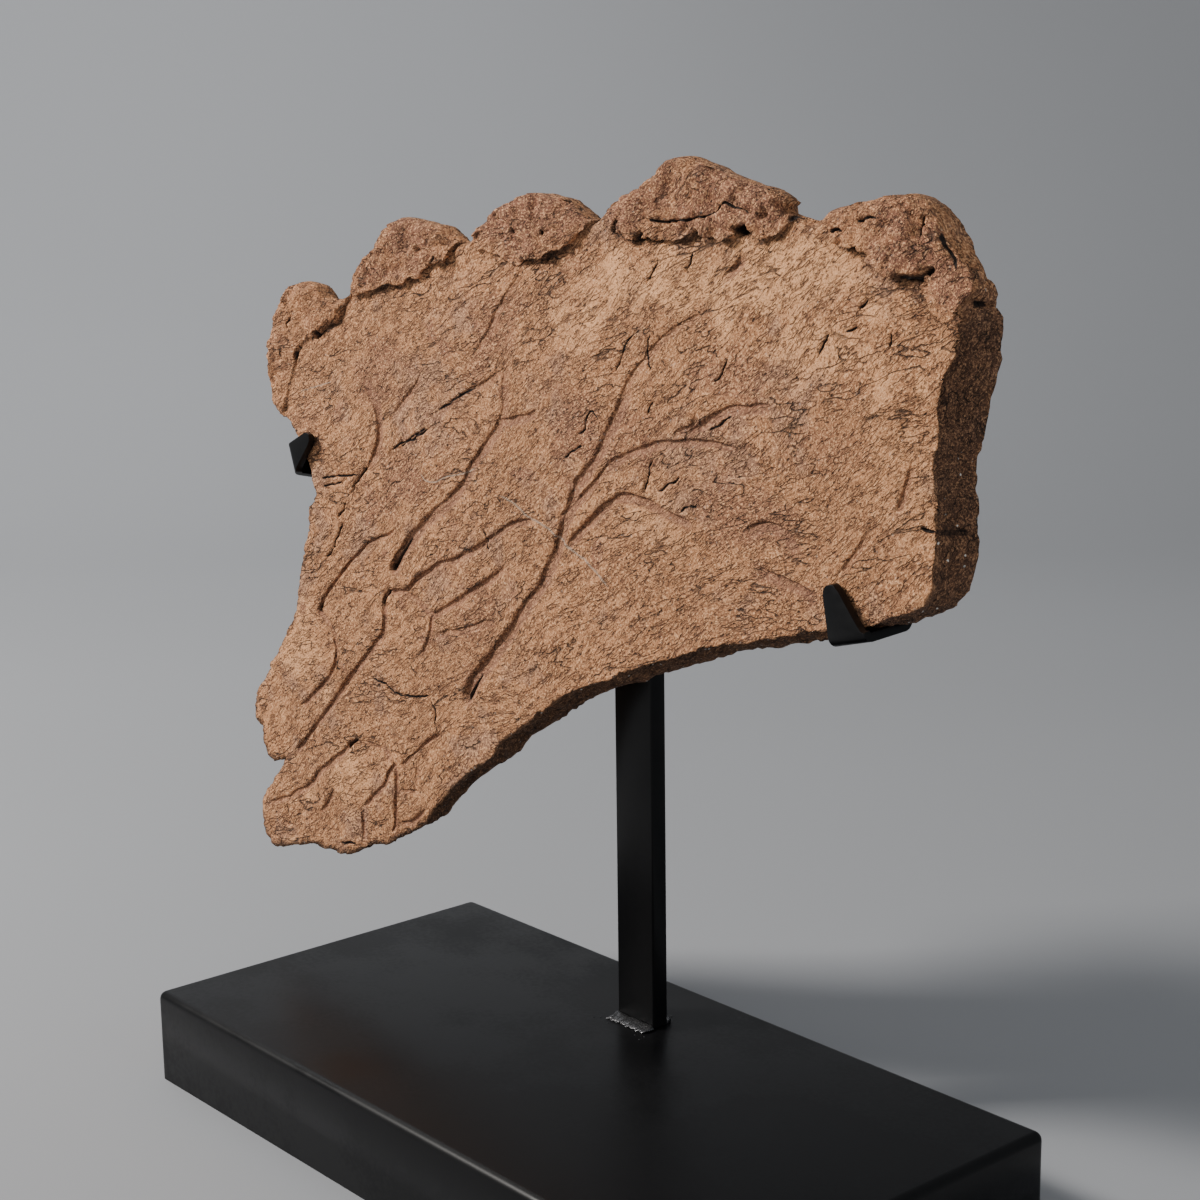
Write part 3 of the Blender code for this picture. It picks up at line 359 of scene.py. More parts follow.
# The back rises towards the natural margin, so that the knobs are thinner at their rims.
TAPER_DEPTH = 12.0
TAPER_REACH = 40.0
# How far the knobs stand to the right of their places in the tables.
KNOB_SHIFT = 5.2
# Where along the plate the broken right end begins.
END_START = 200.0
# How far the broken right end leans out towards the back: (height on the plate, lean).
END_LEAN = ((-40, 0.0), (-15, 2.1), (0, 1.6), (28, 0.9), (40, 2.4), (50, 5.0), (60, 6.0), (72, 5.0),
            (85, 4.5), (97, 2.5))
# How far the front edge of the broken right end stands back: (height on the plate, inset).
END_INSET = ((-34, 0.0), (-25, 1.0), (-12, 3.0), (33, 3.0), (48, 4.5), (61, 3.0), (68, 1.0),
             (76, 0.0), (85, -0.5), (90, -2.0), (97, -6.0), (103, -7.0), (110, -4.0), (118, 0.0))
# The cracks across the broken end: (height on the plate, width, depth, share of the thickness that
# stays whole at the front).
END_CRACKS = ((-3, 0.9, 1.8, 0.0), (91.5, 1.3, 4.0, 0.4))
# The smallest rounding of a broken edge.
CHIP_RADIUS = 1.2
# The ledge round a knob: how wide its step is, how far its lip stands out and its foot is cut back.
LEDGE_WIDTH = 0.45
OVERHANG = 1.5
UNDERCUT = 1.0

# ---- noise layers --------------------------------------------------------------------------------
# The way the fibres of the bone run.
GRAIN_ANGLE = math.radians(40.0)
# Each layer is its height, scale and seed, and how far and which way it is drawn out, if it is.
GROOVE_SHAKE = ((0.9, 14.0, 33.0), (0.5, 5.0, 34.0))
CRACK_SHAKE = ((0.9, 5.0, 20.0), (0.5, 2.2, 21.0))
HAIRLINE_SHAKE = ((0.6, 4.0, 25.0),)
FACE_SWELL = ((1.7, 75.0, 3.1), (1.3, 26.0, 7.7))
BACK_SWELL = ((1.0, 60.0, 11.9), (0.5, 22.0, 1.3))
KNOB_LUMPS = ((2.3, 11.0, 5.3), (1.7, 5.0, 9.1), (0.9, 2.6, 9.7))
FLAKES = ((0.42, 5.5, 18.0, 1.8, GRAIN_ANGLE - 0.2), (0.28, 2.4, 16.0, 1.5, GRAIN_ANGLE))
BROKEN_ROUGHNESS = ((1.3, 9.0, 2.2), (1.1, 4.2, 5.2))
MARGIN_ROUGHNESS = ((0.7, 8.0, 6.2),)

# ---- mesh spacing --------------------------------------------------------------------------------
OUTLINE_STEP = 3.0
FACE_STEP = 3.4
BACK_STEP = 4.6
WALL_ROWS = 9
GROOVE_STEP = 2.8
SLOT_STEP = 1.6
# How many points a smooth curve has between two given ones.
SPLINE_STEPS = 12
# How far from the outline the rows beside a line end.
EDGE_CLEARANCE = 1.6

# ---- stage, in metres ----------------------------------------------------------------------------
FLOOR_NEAR = -2.2
FLOOR_FAR = 1.6
SWEEP_RADIUS = 0.9
SWEEP_STEPS = 12
SWEEP_HALF_WIDTH = 3.4
BACKDROP_TOP = 3.2


# ---- plane curves and fields ---------------------------------------------------------------------
def smooth(low, high, x):
    """0 below low, 1 above high, and an eased rise between them."""
    t = np.clip((x - low) / (high - low), 0.0, 1.0)
    return t * t * (3.0 - 2.0 * t)


def heading(degrees):
    """The unit directions along and across an angle on the plate."""
    angle = math.radians(degrees)
    along = np.array((math.cos(angle), math.sin(angle)))
    return along, np.array((-along[1], along[0]))


def turned(points, angle, u=0.0, v=0.0):
    """How far the points lie along and across a direction, from the place (u, v)."""
    c = math.cos(angle)
    s = math.sin(angle)
    du = points[:, 0] - u
    dv = points[:, 1] - v
    return du * c + dv * s, dv * c - du * s


def noise_field(points, scale, seed, stretch=1.0, angle=0.0):
    """Smooth noise over the plate, at a scale in millimetres, drawn out along an angle."""
    along, across = turned(points, angle)
    places = zip((along / (scale * stretch)).tolist(), (across / scale).tolist())
    return np.array([noise.noise((a, b, seed)) for a, b in places])


def layered_noise(points, layers):
    """Noise fields added up: each layer is its height, and then what noise_field takes."""
    return sum(height * noise_field(points, *field) for height, *field in layers)


def creases(points, width, *field):
    """Winding lines where a noise field crosses zero: 1 on each line, 0 where the noise passes width."""
    return smooth(width, 0.0, np.abs(noise_field(points, *field)))


def smooth_line(route, closed, step):
    """Points about step apart along a smooth curve through the given ones, with their extra values."""
    knots = np.array(route, float)
    count = len(knots)
    dense = []
    for i in range(count if closed else count - 1):
        near = [j % count if closed else min(max(j, 0), count - 1) for j in range(i - 1, i + 3)]
        a, b, c, d = knots[near]
        for t in np.arange(SPLINE_STEPS) / SPLINE_STEPS:
            t2 = t * t
            t3 = t2 * t
            dense.append(b * (2 * t3 - 3 * t2 + 1) + (c - a) * 0.5 * (t3 - 2 * t2 + t)
                         + c * (3 * t2 - 2 * t3) + (d - b) * 0.5 * (t3 - t2))
    dense.append(knots[0] if closed else knots[-1])
    dense = np.array(dense)
    hops = np.linalg.norm(np.diff(dense[:, :2], axis=0), axis=1)
    travelled = np.concatenate([[0.0], np.cumsum(hops)])
    stops = np.linspace(0.0, travelled[-1], max(2, round(travelled[-1] / step)) + 1)
    line = np.stack([np.interp(stops, travelled, column) for column in dense.T], axis=1)
    return line[:-1] if closed else line


def line_normals(line, closed=True):
    """The unit normals on the left of a line's direction."""
    if closed:
        along = np.roll(line, -1, axis=0) - np.roll(line, 1, axis=0)
    else:
        along = np.gradient(line, axis=0)
    along /= np.linalg.norm(along, axis=1)[:, None]
    return np.stack([-along[:, 1], along[:, 0]], axis=1)


def shaken_line(route, step, layers):
    """A smooth line with a small sideways shake, given as noise layers."""
    line = smooth_line(route, False, step)
    flat = line[:, :2]
    line[:, :2] = flat + line_normals(flat, False) * layered_noise(flat, layers)[:, None]
    return line


def near_line(points, line, reach):
    """The points within reach of a line: which, how far, the place along it, and the offset from it."""
    low = line.min(axis=0) - reach
    high = line.max(axis=0) + reach
    near = np.nonzero(((points > low) & (points < high)).all(axis=1))[0]
    p = points[near]
    best = np.full(len(near), np.inf)
    place = np.zeros(len(near))
    offset = np.zeros((len(near), 2))
    for i, (start, step) in enumerate(zip(line, np.diff(line, axis=0))):
        from_start = p - start
        t = np.clip(from_start @ step / max(step @ step, 1e-9), 0.0, 1.0)
        away = from_start - t[:, None] * step
        d = (away ** 2).sum(axis=1)
        closer = d < best
        best[closer] = d[closer]
        place[closer] = i + t[closer]
        offset[closer] = away[closer]
    best = np.sqrt(best)
    within = best < reach
    return near[within], best[within], place[within], offset[within]


def at_place(place, values):
    """The values given for a line's points, read at places along it."""
    return np.interp(place, np.arange(len(values)), values)


def raise_to(field, near, values):
    """Lifts the chosen entries of a field to the given values where those are higher."""
    field[near] = np.maximum(field[near], values)


def distance_field(points, line, reach):
    """The distance of every point to a line, or reach where it is further away."""
    far = np.full(len(points), reach)
    near, best, _place, _offset = near_line(points, line, reach)
    far[near] = best
    return far


def oval_field(points, u, v, half_length, half_width, degrees):
    """How far out each point lies in an oval, 1 at its edge."""
    along, across = turned(points, math.radians(degrees), u, v)
    return np.hypot(along / half_length, across / half_width)


def rounding(distance, radius):
    """How far a rounded edge has dropped at a distance from it."""
    near = np.clip(radius - distance, 0.0, None)
    return radius - np.sqrt(np.maximum(radius ** 2 - near ** 2, 0.0))


def inside(points, polygon):
    """Which points lie inside a closed polygon."""
    found = np.zeros(len(points), bool)
    x = points[:, 0]
    y = points[:, 1]
    for a, b in zip(polygon, np.roll(polygon, -1, axis=0)):
        if a[1] == b[1]:
            continue
        crosses = (a[1] > y) != (b[1] > y)
        found ^= crosses & (x < a[0] + (y - a[1]) * (b[0] - a[0]) / (b[1] - a[1]))
    return found


def edge_distance(points, outline, reach):
    """The distance of every point to a closed outline, or reach where it is further away."""
    return distance_field(points, np.concatenate([outline, outline[:1]]), reach)


def to_world(points):
    """Points of the plate frame in millimetres, as world points in metres."""
    return (PLATE_ORIGIN + points[:, :1] * AXIS_U + points[:, 1:2] * AXIS_V
            + points[:, 2:3] * AXIS_W) * MM


def clear_of_hooks(points):
    """Points of the bone moved off the inside faces of the two hooks, so that it rests on them."""
    points = points.copy()
    for hook in (LEFT_HOOK, RIGHT_HOOK):
        along, up = heading(hook.direction)
        flat = points[:, :2] - hook.corner
        flat[:, 1] -= (FINGER_FACE_W - points[:, 2]) * hook.climb
        a = flat @ along
        n = flat @ up
        aside = np.maximum(np.maximum(-a, a - hook.width), 0.0)
        leg = (hook.leg, LEG_BACK_W + STRIP_THICKNESS + LEG_GAP, -HOOK_EASE, np.maximum)
        finger = (hook.finger, FINGER_FACE_W - STRIP_THICKNESS - REST_GAP, HOOK_EASE, np.minimum)
        for top, face, ease, pressed in (leg, finger):
            away = np.maximum(aside, n - top)
            close = (away < HOOK_REACH) & (n > -12.0)
            points[close, 2] = pressed(points[close, 2], face + ease * away[close])
        floor = STRIP_THICKNESS + REST_GAP - 0.5 * aside
        low = (aside < 8.0) & (n > -10.0) & (n < floor)
        points[low, :2] += up * (floor - n)[low, None]
    return points


# ---- the bone's relief ---------------------------------------------------------------------------
def seam_line(knob, k):
    """A knob's seam with its ledges, the normals into the knob, and the region that the knob fills."""
    shakes = ((1.3, 7.0, 4.0 + k), (0.9, 3.1, 8.0 + k))
    line = shaken_line(knob.seam, 2.0, shakes)
    flat = line[:, :2]
    beyond = knob.beyond or ((line[-1][0], ABOVE_KNOBS), (line[0][0], ABOVE_KNOBS))
    return flat, line[:, 2], line_normals(flat, False), np.concatenate([flat, np.array(beyond)])


def groove_line(start_width, start_depth, end_width, end_depth, route):
    """A groove's middle line, with its half width and its depth at every point."""
    line = shaken_line(route, GROOVE_STEP, GROOVE_SHAKE)
    share = np.linspace(0.0, 1.0, len(line))
    run = share * len(line) * GROOVE_STEP
    halves = 0.5 * (start_width + (end_width - start_width) * share)
    halves = halves * (1.0 + 0.35 * noise_field(line, 12.0, 41.0))
    depths = start_depth + (end_depth - start_depth) * share
    if start_depth == 0.0:
        depths = end_depth * smooth(0.0, GROOVE_RUN_OUT, run)
    depths = depths * smooth(0.0, GROOVE_RUN_OUT, run[::-1])
    return line, halves, depths * (1.0 + 0.5 * noise_field(line, 16.0, 43.0))


class Relief:
    """The height of the bone's two faces over the plate plane, and the masks its finish follows."""

    def __init__(self, strength):
        self.strength = strength
        self.natural = smooth_line(NATURAL_MARGIN, False, 4.0)
        broken = NATURAL_MARGIN[-1:] + BROKEN_END + BROKEN_FOOT + BROKEN_SIDE + NATURAL_MARGIN[:1]
        self.broken = smooth_line(broken, False, 4.0)
        self.seams = [seam_line(knob, k) for k, knob in enumerate(KNOBS)]
        self.grooves = [groove_line(*groove) for groove in GROOVES]
        self.cracks = [(shaken_line(route, 1.8, CRACK_SHAKE), width, depth)
                       for width, depth, route in CRACKS]
        self.hairlines = [(shaken_line(route, 2.0, HAIRLINE_SHAKE), width) for width, route in HAIRLINES]

    def brokenness(self, p):
        """0 at the natural margin, rising to 1 a little way along the broken edge."""
        return smooth(0.0, 9.0, distance_field(p, self.natural, 10.0))

    def knob_height(self, p, sharp):
        """How far the knobs stand proud of the face, and what belongs to their seams.

        Gives the height, how far inside a knob each point is, how deep in the ditch below a ledge it
        lies, how much painted shadow falls below a ledge there, and how far it slides sideways, so that
        ledges overhang.
        """
        height, depth_in, ditch, painted_ledge_shadow = np.zeros((4, len(p)))
        slide = np.zeros((len(p), 2))
        ragged = np.clip(0.72 + 1.3 * noise_field(p, 9.0, 6.6), 0.15, 1.0)
        for (line, ledges, normals, region), knob in zip(self.seams, KNOBS):
            near, d, place, _offset = near_line(p, line, 60.0)
            d = np.where(inside(p[near], region), d, -d)
            ledge = at_place(place, ledges)
            step = smooth(-0.1, LEDGE_WIDTH, d) if sharp else smooth(-9.0, 9.0, d)
            raise_to(height, near, step * ledge + smooth(1.0, 24.0, d) * knob.crown)
            raise_to(depth_in, near, knob.red * np.clip(d / 5.0, 0.0, 1.0))
            strength = np.clip(ledge / 4.0, 0.0, 1.2) * ragged[near]
            hollow = np.exp(-(((d + 0.9) / 1.3) ** 2)) * strength
            raise_to(ditch, near, np.where(d < 0.3, hollow, 0.0))
            lip = OVERHANG * smooth(3.4, 0.5, d) * (d > 0.2)
            foot = UNDERCUT * smooth(-1.8, -0.2, d) * (d <= 0.2)
            inward = np.stack([at_place(place, n) for n in normals.T], axis=1)
            slide[near] += inward * ((foot - lip) * strength)[:, None]
            # painted shadow: a dark band below the ledge, set further out where the ledge faces left
            reach = ledge * np.clip(1.25 * inward[:, 0] + 0.15, 0.0, 1.2)
            raise_to(painted_ledge_shadow, near, smooth(-reach - 2.0, -reach - 0.2, d) * (d < 0.3) * strength)
        return height, depth_in, ditch, painted_ledge_shadow, slide

    def groove_depth(self, p):
        """How deep the vessel grooves are, how far across each point lies, and their shaded lips."""
        depth, across, shade = np.zeros((3, len(p)))
        for line, halves, depths in self.grooves:
            near, away, place, offset = near_line(p, line, halves.max() * 1.2)
            full = at_place(place, depths)
            x = away / at_place(place, halves)
            steep = (offset @ STEEP_SIDE) / np.maximum(away, 0.3)
            floor = 0.42 + 0.38 * steep
            rise = smooth(0.0, 1.0, (GROOVE_LIP - x) / (GROOVE_LIP - floor))
            raise_to(depth, near, full * rise * (0.86 + 0.14 * steep * np.minimum(x, 1.0)))
            raise_to(across, near, smooth(1.1, 0.7, x) * np.minimum(full / 1.6, 1.0))
            lip = smooth(GROOVE_LIP, 0.95, x) * smooth(0.62, 0.84, x) * np.clip(0.2 + steep, 0.0, 1.0)
            raise_to(shade, near, 0.75 * lip * np.minimum(full / 1.8, 1.0))
        return depth, across, shade

    def hole_depth(self, p):
        """How deep the vessel slots and the little pits are, and the mask of their insides, which is painted
        dark as shade.
        """
        depth, hollow = np.zeros((2, len(p)))
        for u, v, length, width, full, degrees in VESSEL_HOLES:
            along, across = turned(p, math.radians(degrees), u, v)
            share = np.clip(along / length, 0.0, 1.0)
            half = 0.5 * width * (1.0 - SLOT_TAPER * share)
            d = np.hypot(across, along - share * length) / half
            depth = np.maximum(depth, full * (1.0 - 0.6 * share) * smooth(1.05, 0.55, d))
            hollow = np.maximum(hollow, smooth(1.1, 0.75, d))
        for *oval, full in PITS:
            d = oval_field(p, *oval)
            depth = np.maximum(depth, full * smooth(1.0, 0.4, d))
            hollow = np.maximum(hollow, smooth(1.0, 0.6, d))
        return depth, hollow

    def line_marks(self, p):
        """How deep the open cracks are, and the masks of the cracks and of the mended hairlines."""
        depth, crack, hairline = np.zeros((3, len(p)))
        uneven = np.clip(0.9 + 1.0 * noise_field(p, 4.0, 51.0), 0.45, 1.2)
        for line, width, full in self.cracks:
            near, away, place, _offset = near_line(p, line, 4.0)
            share = place / (len(line) - 1)
            taper = smooth(0.0, 0.25, share) * smooth(1.0, 0.7, share) * uneven[near]
            reach = width * (0.12 + 0.28 * taper)
            mask = smooth(reach + 0.45, reach * 0.4, away) * np.minimum(taper * 1.2, 1.0)
            raise_to(depth, near, full * mask)
            raise_to(crack, near, mask)
        for line, width in self.hairlines:
            near, away, place, _offset = near_line(p, line, 4.0)
            share = place / (len(line) - 1)
            taper = smooth(0.0, 0.1, share) * smooth(1.0, 0.9, share)
            raise_to(hairline, near, np.clip(1.0 - away / (width * 0.62), 0.0, 1.0) * taper)
        return depth, crack, hairline

    def rim_drop(self, p, rim_radius):
        """The rounding of the natural margin, and the small worn chips along the broken one."""
        radius = rim_radius * (1.0 + 0.5 * noise_field(p, 14.0, 27.0))
        chip = CHIP_RADIUS + 2.6 * np.clip(noise_field(p, 10.0, 17.0), 0.0, 1.0)
        drop = rounding(distance_field(p, self.natural, 12.0), radius)
        return RIM_DROP * (drop + rounding(distance_field(p, self.broken, 6.0), chip))

    def fibres(self, p):
        """The fine relief that runs with the grain: creases, flakes and small lumps."""
        crease = -creases(p, 0.16, 3.2, 12.0, 3.0, GRAIN_ANGLE)
        crease -= 1.1 * creases(p, 0.12, 7.5, 14.0, 2.6, GRAIN_ANGLE + 0.3)
        return self.strength * (0.34 * crease + layered_noise(p, FLAKES))

    def front(self, p):
        """The height of the shown face, its sideways slide, and its masks."""
        knob, in_knob, ditch, painted_ledge_shadow, slide = self.knob_height(p, True)
        groove, across, shade = self.groove_depth(p)
        hole, hollow = self.hole_depth(p)
        crack_depth, crack, hairline = self.line_marks(p)
        lumps = layered_noise(p, KNOB_LUMPS) - 1.3 * creases(p, 0.14, 8.0, 19.0, 2.0, GRAIN_ANGLE - 0.9)
        lumps *= smooth(0.5, 3.0, knob)
        for *oval, full in SCOOPS:
            lumps -= full * np.exp(-1.2 * oval_field(p, *oval) ** 2)
        height = layered_noise(p, FACE_SWELL) + knob + lumps + self.fibres(p) * (1.0 - 0.7 * across)
        height -= self.rim_drop(p, RIM_RADIUS) + 1.6 * ditch
        height -= np.maximum(np.maximum(groove, hole), crack_depth)
        tone = np.zeros(len(p))
        uneven = 1.0 + 1.2 * noise_field(p, 16.0, 61.0)
        for *oval, share in TONE_PATCHES:
            tone += share * smooth(1.25, 0.45, oval_field(p, *oval) * uneven)
        masks = {
            "pale": np.clip(tone, 0.0, 1.0) * (1.0 - in_knob),
            "brown": np.clip(-tone, 0.0, 1.0),
            "groove": across,
            # painted shade on the steep groove lips and painted shadow below the knob ledges
            "shade": np.clip(np.maximum(shade, painted_ledge_shadow), 0.0, 1.0),
            # painted shade inside the slots and pits and in the ditch below each ledge
            "hollow": np.maximum(hollow, 0.8 * np.clip(ditch, 0.0, 1.0)),
            "crack": crack,
            "hairline": hairline,
            "knob": in_knob,
            "broken": np.zeros(len(p)),
        }
        return height, slide, masks

    def back(self, p):
        """The height of the back face, which is smoother."""
        u, v = p.T
        middle = np.exp(-((u / 120.0) ** 2)) * np.exp(-(((v - 20.0) / 90.0) ** 2))
        thick = THICKNESS_EDGE + (THICKNESS_MIDDLE - THICKNESS_EDGE) * middle
        thick -= (THICKNESS_EDGE - THICKNESS_TIP) * smooth(120.0, 230.0, -v)
        wrinkle = 1.0 - 2.0 * np.abs(noise_field(p, 7.0, 31.0, 3.0, GRAIN_ANGLE))
        near_margin = np.clip(1.0 - distance_field(p, self.natural, TAPER_REACH) / TAPER_REACH, 0.0, 1.0)
        taper = TAPER_DEPTH * near_margin ** 1.5 * smooth(0.0, 40.0, v)
        taper *= 1.0 - 0.35 * smooth(172.0, 212.0, u)
        height = taper - thick + layered_noise(p, BACK_SWELL) + 0.25 * wrinkle
        height += self.rim_drop(p, BACK_RIM_RADIUS) - 0.25 * self.knob_height(p, False)[0]
        by_cross = (v > CROSS_LOW - 4.0) & (v < CROSS_HIGH + 4.0)
        return np.where(by_cross, np.maximum(height, LEG_BACK_W + CONTACT_GAP), height)


def edge_lean(flat):
    """How far a broken edge leans: its rear lip stands out past the front one on the right."""
    u, v = flat.T
    lean = 2.4 * np.clip((u + 40.0) / 90.0, -1.0, 1.0) * smooth(30.0, 60.0, -v)
    return lean + smooth(205.0, 218.0, u) * np.interp(v, *np.transpose(END_LEAN))


def end_inset(flat):
    """How far the front edge of the broken right end is set back near each point."""
    return np.interp(flat[:, 1], *np.transpose(END_INSET)) * smooth(190.0, 222.0, flat[:, 0])


def end_cracks(ring, share):
    """The mask and the depth of the cracks across the broken right end, at one row of its wall."""
    shake = 1.2 * noise_field(ring, 4.0, 3.3)
    mask, depth = np.zeros((2, len(ring)))
    for v, width, full, whole in END_CRACKS:
        here = np.exp(-(((ring[:, 1] - v + shake) / width) ** 2)) * (ring[:, 0] > END_START)
        here *= min(1.0, max(0.0, share - whole) * 6.0)
        mask = np.maximum(mask, here)
        depth = np.maximum(depth, here * full)
    return mask, depth


def knob_shift(flat):
    """How far the knobs along the margin stand to the right of their place in the tables."""
    u, v = flat[:, 0], flat[:, 1]
    high = smooth(70.0, 115.0, v)
    left = smooth(0.0, 45.0, v) * smooth(-190.0, -235.0, u)
    return (KNOB_SHIFT - 0.004 * u) * np.maximum(high, 0.8 * left)


# ---- the bone's mesh -----------------------------------------------------------------------------
def offset_rows(line, offsets, outline):
    """Rows of points beside a line, cut to the stretches that lie well inside the outline."""
    rows = []
    for offset in offsets:
        row = line + line_normals(line, False) * np.reshape(offset, (-1, 1))
        clear = edge_distance(row, outline, EDGE_CLEARANCE + 1.0) > EDGE_CLEARANCE
        kept = inside(row, outline) & clear
        cuts = np.flatnonzero(np.diff(kept)) + 1
        runs = zip(np.split(row, cuts), np.split(kept, cuts))
        rows.extend(run for run, keep in runs if keep[0] and len(run) > 1)
    return rows


def inner_rows(outline, normals, offsets, chosen):
    """Loose points a little inside the outline, dropped where they crowd a notch."""
    found = []
    for offset in offsets:
        row = (outline - normals * offset)[chosen]
        keep = inside(row, outline) & (edge_distance(row, outline, offset + 1.0) > offset * 0.9)
        found.append(row[keep])
    return np.concatenate(found)


def hole_points():
    """Close points in and round the vessel slots and the little pits, so that their edges are crisp."""
    found = []
    for u, v, length, width, _depth, degrees in VESSEL_HOLES:
        along, across = heading(degrees)
        for k in range(int(length / SLOT_STEP) + 1):
            share = k * SLOT_STEP / length
            half = 0.5 * width * (1.0 - SLOT_TAPER * share)
            centre = np.array((u, v)) + along * share * length
            found += [centre + across * half * reach for reach in (-1.1, -0.6, 0.0, 0.6, 1.1)]
        for reach in (0.6, 1.1):
            for turn in (-1.0, -0.35, 0.35, 1.0):
                out = across * math.sin(turn) - along * math.cos(turn)
                found.append(np.array((u, v)) + 0.5 * width * reach * out)
    for u, v, long_radius, short_radius, degrees, _depth in PITS:
        along, across = heading(degrees)
        for reach in (0.4, 0.75, 1.05):
            count = max(6, round(2.0 * math.pi * reach * long_radius / 2.0))
            for k in range(count):
                angle = 2.0 * math.pi * k / count
                found.append(np.array((u, v)) + along * long_radius * reach * math.cos(angle)
                             + across * short_radius * reach * math.sin(angle))
    return np.array(found)


def fill_points(outline, fixed, step):
    """A staggered, slightly shaken grid over the outline, clear of the points already there."""
    low = outline.min(axis=0)
    high = outline.max(axis=0)
    us = np.arange(low[0], high[0], step)
    vs = np.arange(low[1], high[1], step * math.sqrt(3.0) / 2.0)
    grid = np.stack(np.meshgrid(us, vs), axis=2)
    grid[1::2, :, 0] += step * 0.5
    grid = grid.reshape(-1, 2)
    shake = np.stack([noise_field(grid, step * 0.7, 0.4), noise_field(grid, step * 0.7, 9.4)], axis=1)
    grid = grid + shake * step * 0.4
    grid = grid[inside(grid, outline)]
    tree = kdtree.KDTree(len(fixed))
    for i, (u, v) in enumerate(fixed.tolist()):
        tree.insert((u, v, 0.0), i)
    tree.balance()
    return grid[[tree.find((u, v, 0.0))[2] > step * 0.62 for u, v in grid.tolist()]]


def triangulate(outline, lines, loose):
    """Triangles over the outline that follow the given lines, and where its own points ended up."""
    edges = []
    start = len(outline)
    for line in lines:
        edges.extend((start + i, start + i + 1) for i in range(len(line) - 1))
        start += len(line)
    spread = [Vector(p) for p in np.concatenate([outline, *lines, loose]).tolist()]
    ring = list(range(len(outline)))
    verts, _edges, faces, origin, *_origins = delaunay_2d_cdt(spread, edges, [ring], 1, 0.02)
    place = {old: new for new, olds in enumerate(origin) for old in olds}
    return np.array([tuple(v) for v in verts]), np.array(faces), [place[i] for i in ring]


def split_faces(points, faces, ring):
    """Every triangle into four, and the ring with its new points between the old ones."""
    sides = np.concatenate([faces[:, [0, 1]], faces[:, [1, 2]], faces[:, [2, 0]]])
    unique, index = np.unique(np.sort(sides, axis=1), axis=0, return_inverse=True)
    ab, bc, ca = index.reshape(3, -1) + len(points)
    a, b, c = faces.T
    corners = ((a, ab, ca), (ab, b, bc), (ca, bc, c), (ab, bc, ca))
    new_faces = np.concatenate([np.stack(corner, axis=1) for corner in corners])
    middle_of = {tuple(side): i + len(points) for i, side in enumerate(unique.tolist())}
    new_ring = []
    for i, j in zip(ring, ring[1:] + ring[:1]):
        new_ring += [i, middle_of[(min(i, j), max(i, j))]]
    return np.concatenate([points, points[unique].mean(axis=1)]), new_faces, new_ring


def bone_outline(relief):
    """The closed outline, with a fine roughness where the bone is broken."""
    line = smooth_line(NATURAL_MARGIN + BROKEN_END + BROKEN_FOOT + BROKEN_SIDE, True, OUTLINE_STEP)
    broken = smooth(2.0, 8.0, distance_field(line, relief.natural, 9.0))
    rough = broken * layered_noise(line, BROKEN_ROUGHNESS)
    rough += (1.0 - broken) * layered_noise(line, MARGIN_ROUGHNESS)
    return line + line_normals(line) * rough[:, None]


def front_layout(relief, outline, normals, by_margin):
    """Triangles for the shown face, with close rows of points along all that is carved in it."""
    lines = []
    for line, *_rest in relief.seams:
        lines.extend(offset_rows(line, (-2.2, -0.9, -0.1, LEDGE_WIDTH, 1.8), outline))
    for line, halves, _depths in relief.grooves:
        side = math.copysign(1.0, (line_normals(line, False) @ STEEP_SIDE).mean())
        reaches = [side * halves * share for share in (GROOVE_LIP, 0.84, 0.62, -0.1, -1.0)]
        lines.extend(offset_rows(line, reaches, outline))
    loose = [hole_points()]
    marks = [(line, 0.36 * width + 0.5) for line, width, _depth in relief.cracks]
    marks += [(line, 1.1) for line, _width in relief.hairlines]
    for line, reach in marks:
        lines.extend(offset_rows(line, (0.0,), outline))
        loose.extend(offset_rows(line, (-reach, reach), outline))
    loose.append(inner_rows(outline, normals, (0.7, 1.8, 3.6, 6.0), by_margin))
    loose.append(inner_rows(outline, normals, (1.5, 3.4), ~by_margin))
    fixed = np.concatenate([outline, *loose, *lines])
    loose.append(fill_points(outline, fixed, FACE_STEP))
    return split_faces(*triangulate(outline, lines, np.concatenate(loose)))


def back_layout(ring, outline, normals, by_margin):
    """Triangles for the back face, from the same ring of edge points as the shown face."""
    fixed = np.concatenate([inner_rows(outline, normals, (0.9, 2.6, 5.5), by_margin),
                            inner_rows(outline, normals, (3.0,), ~by_margin)])
    loose = fill_points(outline, np.concatenate([ring, fixed]), BACK_STEP)
    return triangulate(ring, [], np.concatenate([fixed, loose]))


def wall_rows(broken, ring, normals, front_w, back_w):
    """The rows of points down the edge wall: rounded at the natural margin, raw where it is broken."""
    rows = []
    for k in range(1, WALL_ROWS):
        share = k / WALL_ROWS
        w = front_w + (back_w - front_w) * share
        rough = []
        for (u, v), depth in zip(ring.tolist(), w.tolist()):
            coarse = noise.noise((u / 8, v / 8, share * 5))
            mid = noise.noise((u / 3.6, v / 3.6, depth / 4.5 + 40.0))
            fine = noise.noise((u / 1.8, v / 1.8, depth / 1.8 + 70.0))
            rough.append(1.6 * coarse + 1.6 * mid + 1.0 * fine)
        from_edge = min(share, 1.0 - share)
        raw = np.array(rough) * min(1.0, 4.0 * from_edge) - from_edge
        bulge = math.sin(math.pi * share) * 0.6
        out = (1.0 - broken) * bulge + broken * raw + edge_lean(ring) * (share * 2.0 - 1.0)
        out -= end_cracks(ring, share)[1]
        place = ring + normals * out[:, None]
        place[:, 0] -= end_inset(ring) * (1.0 - share)
        rows.append(np.column_stack([place, w]))
    return rows


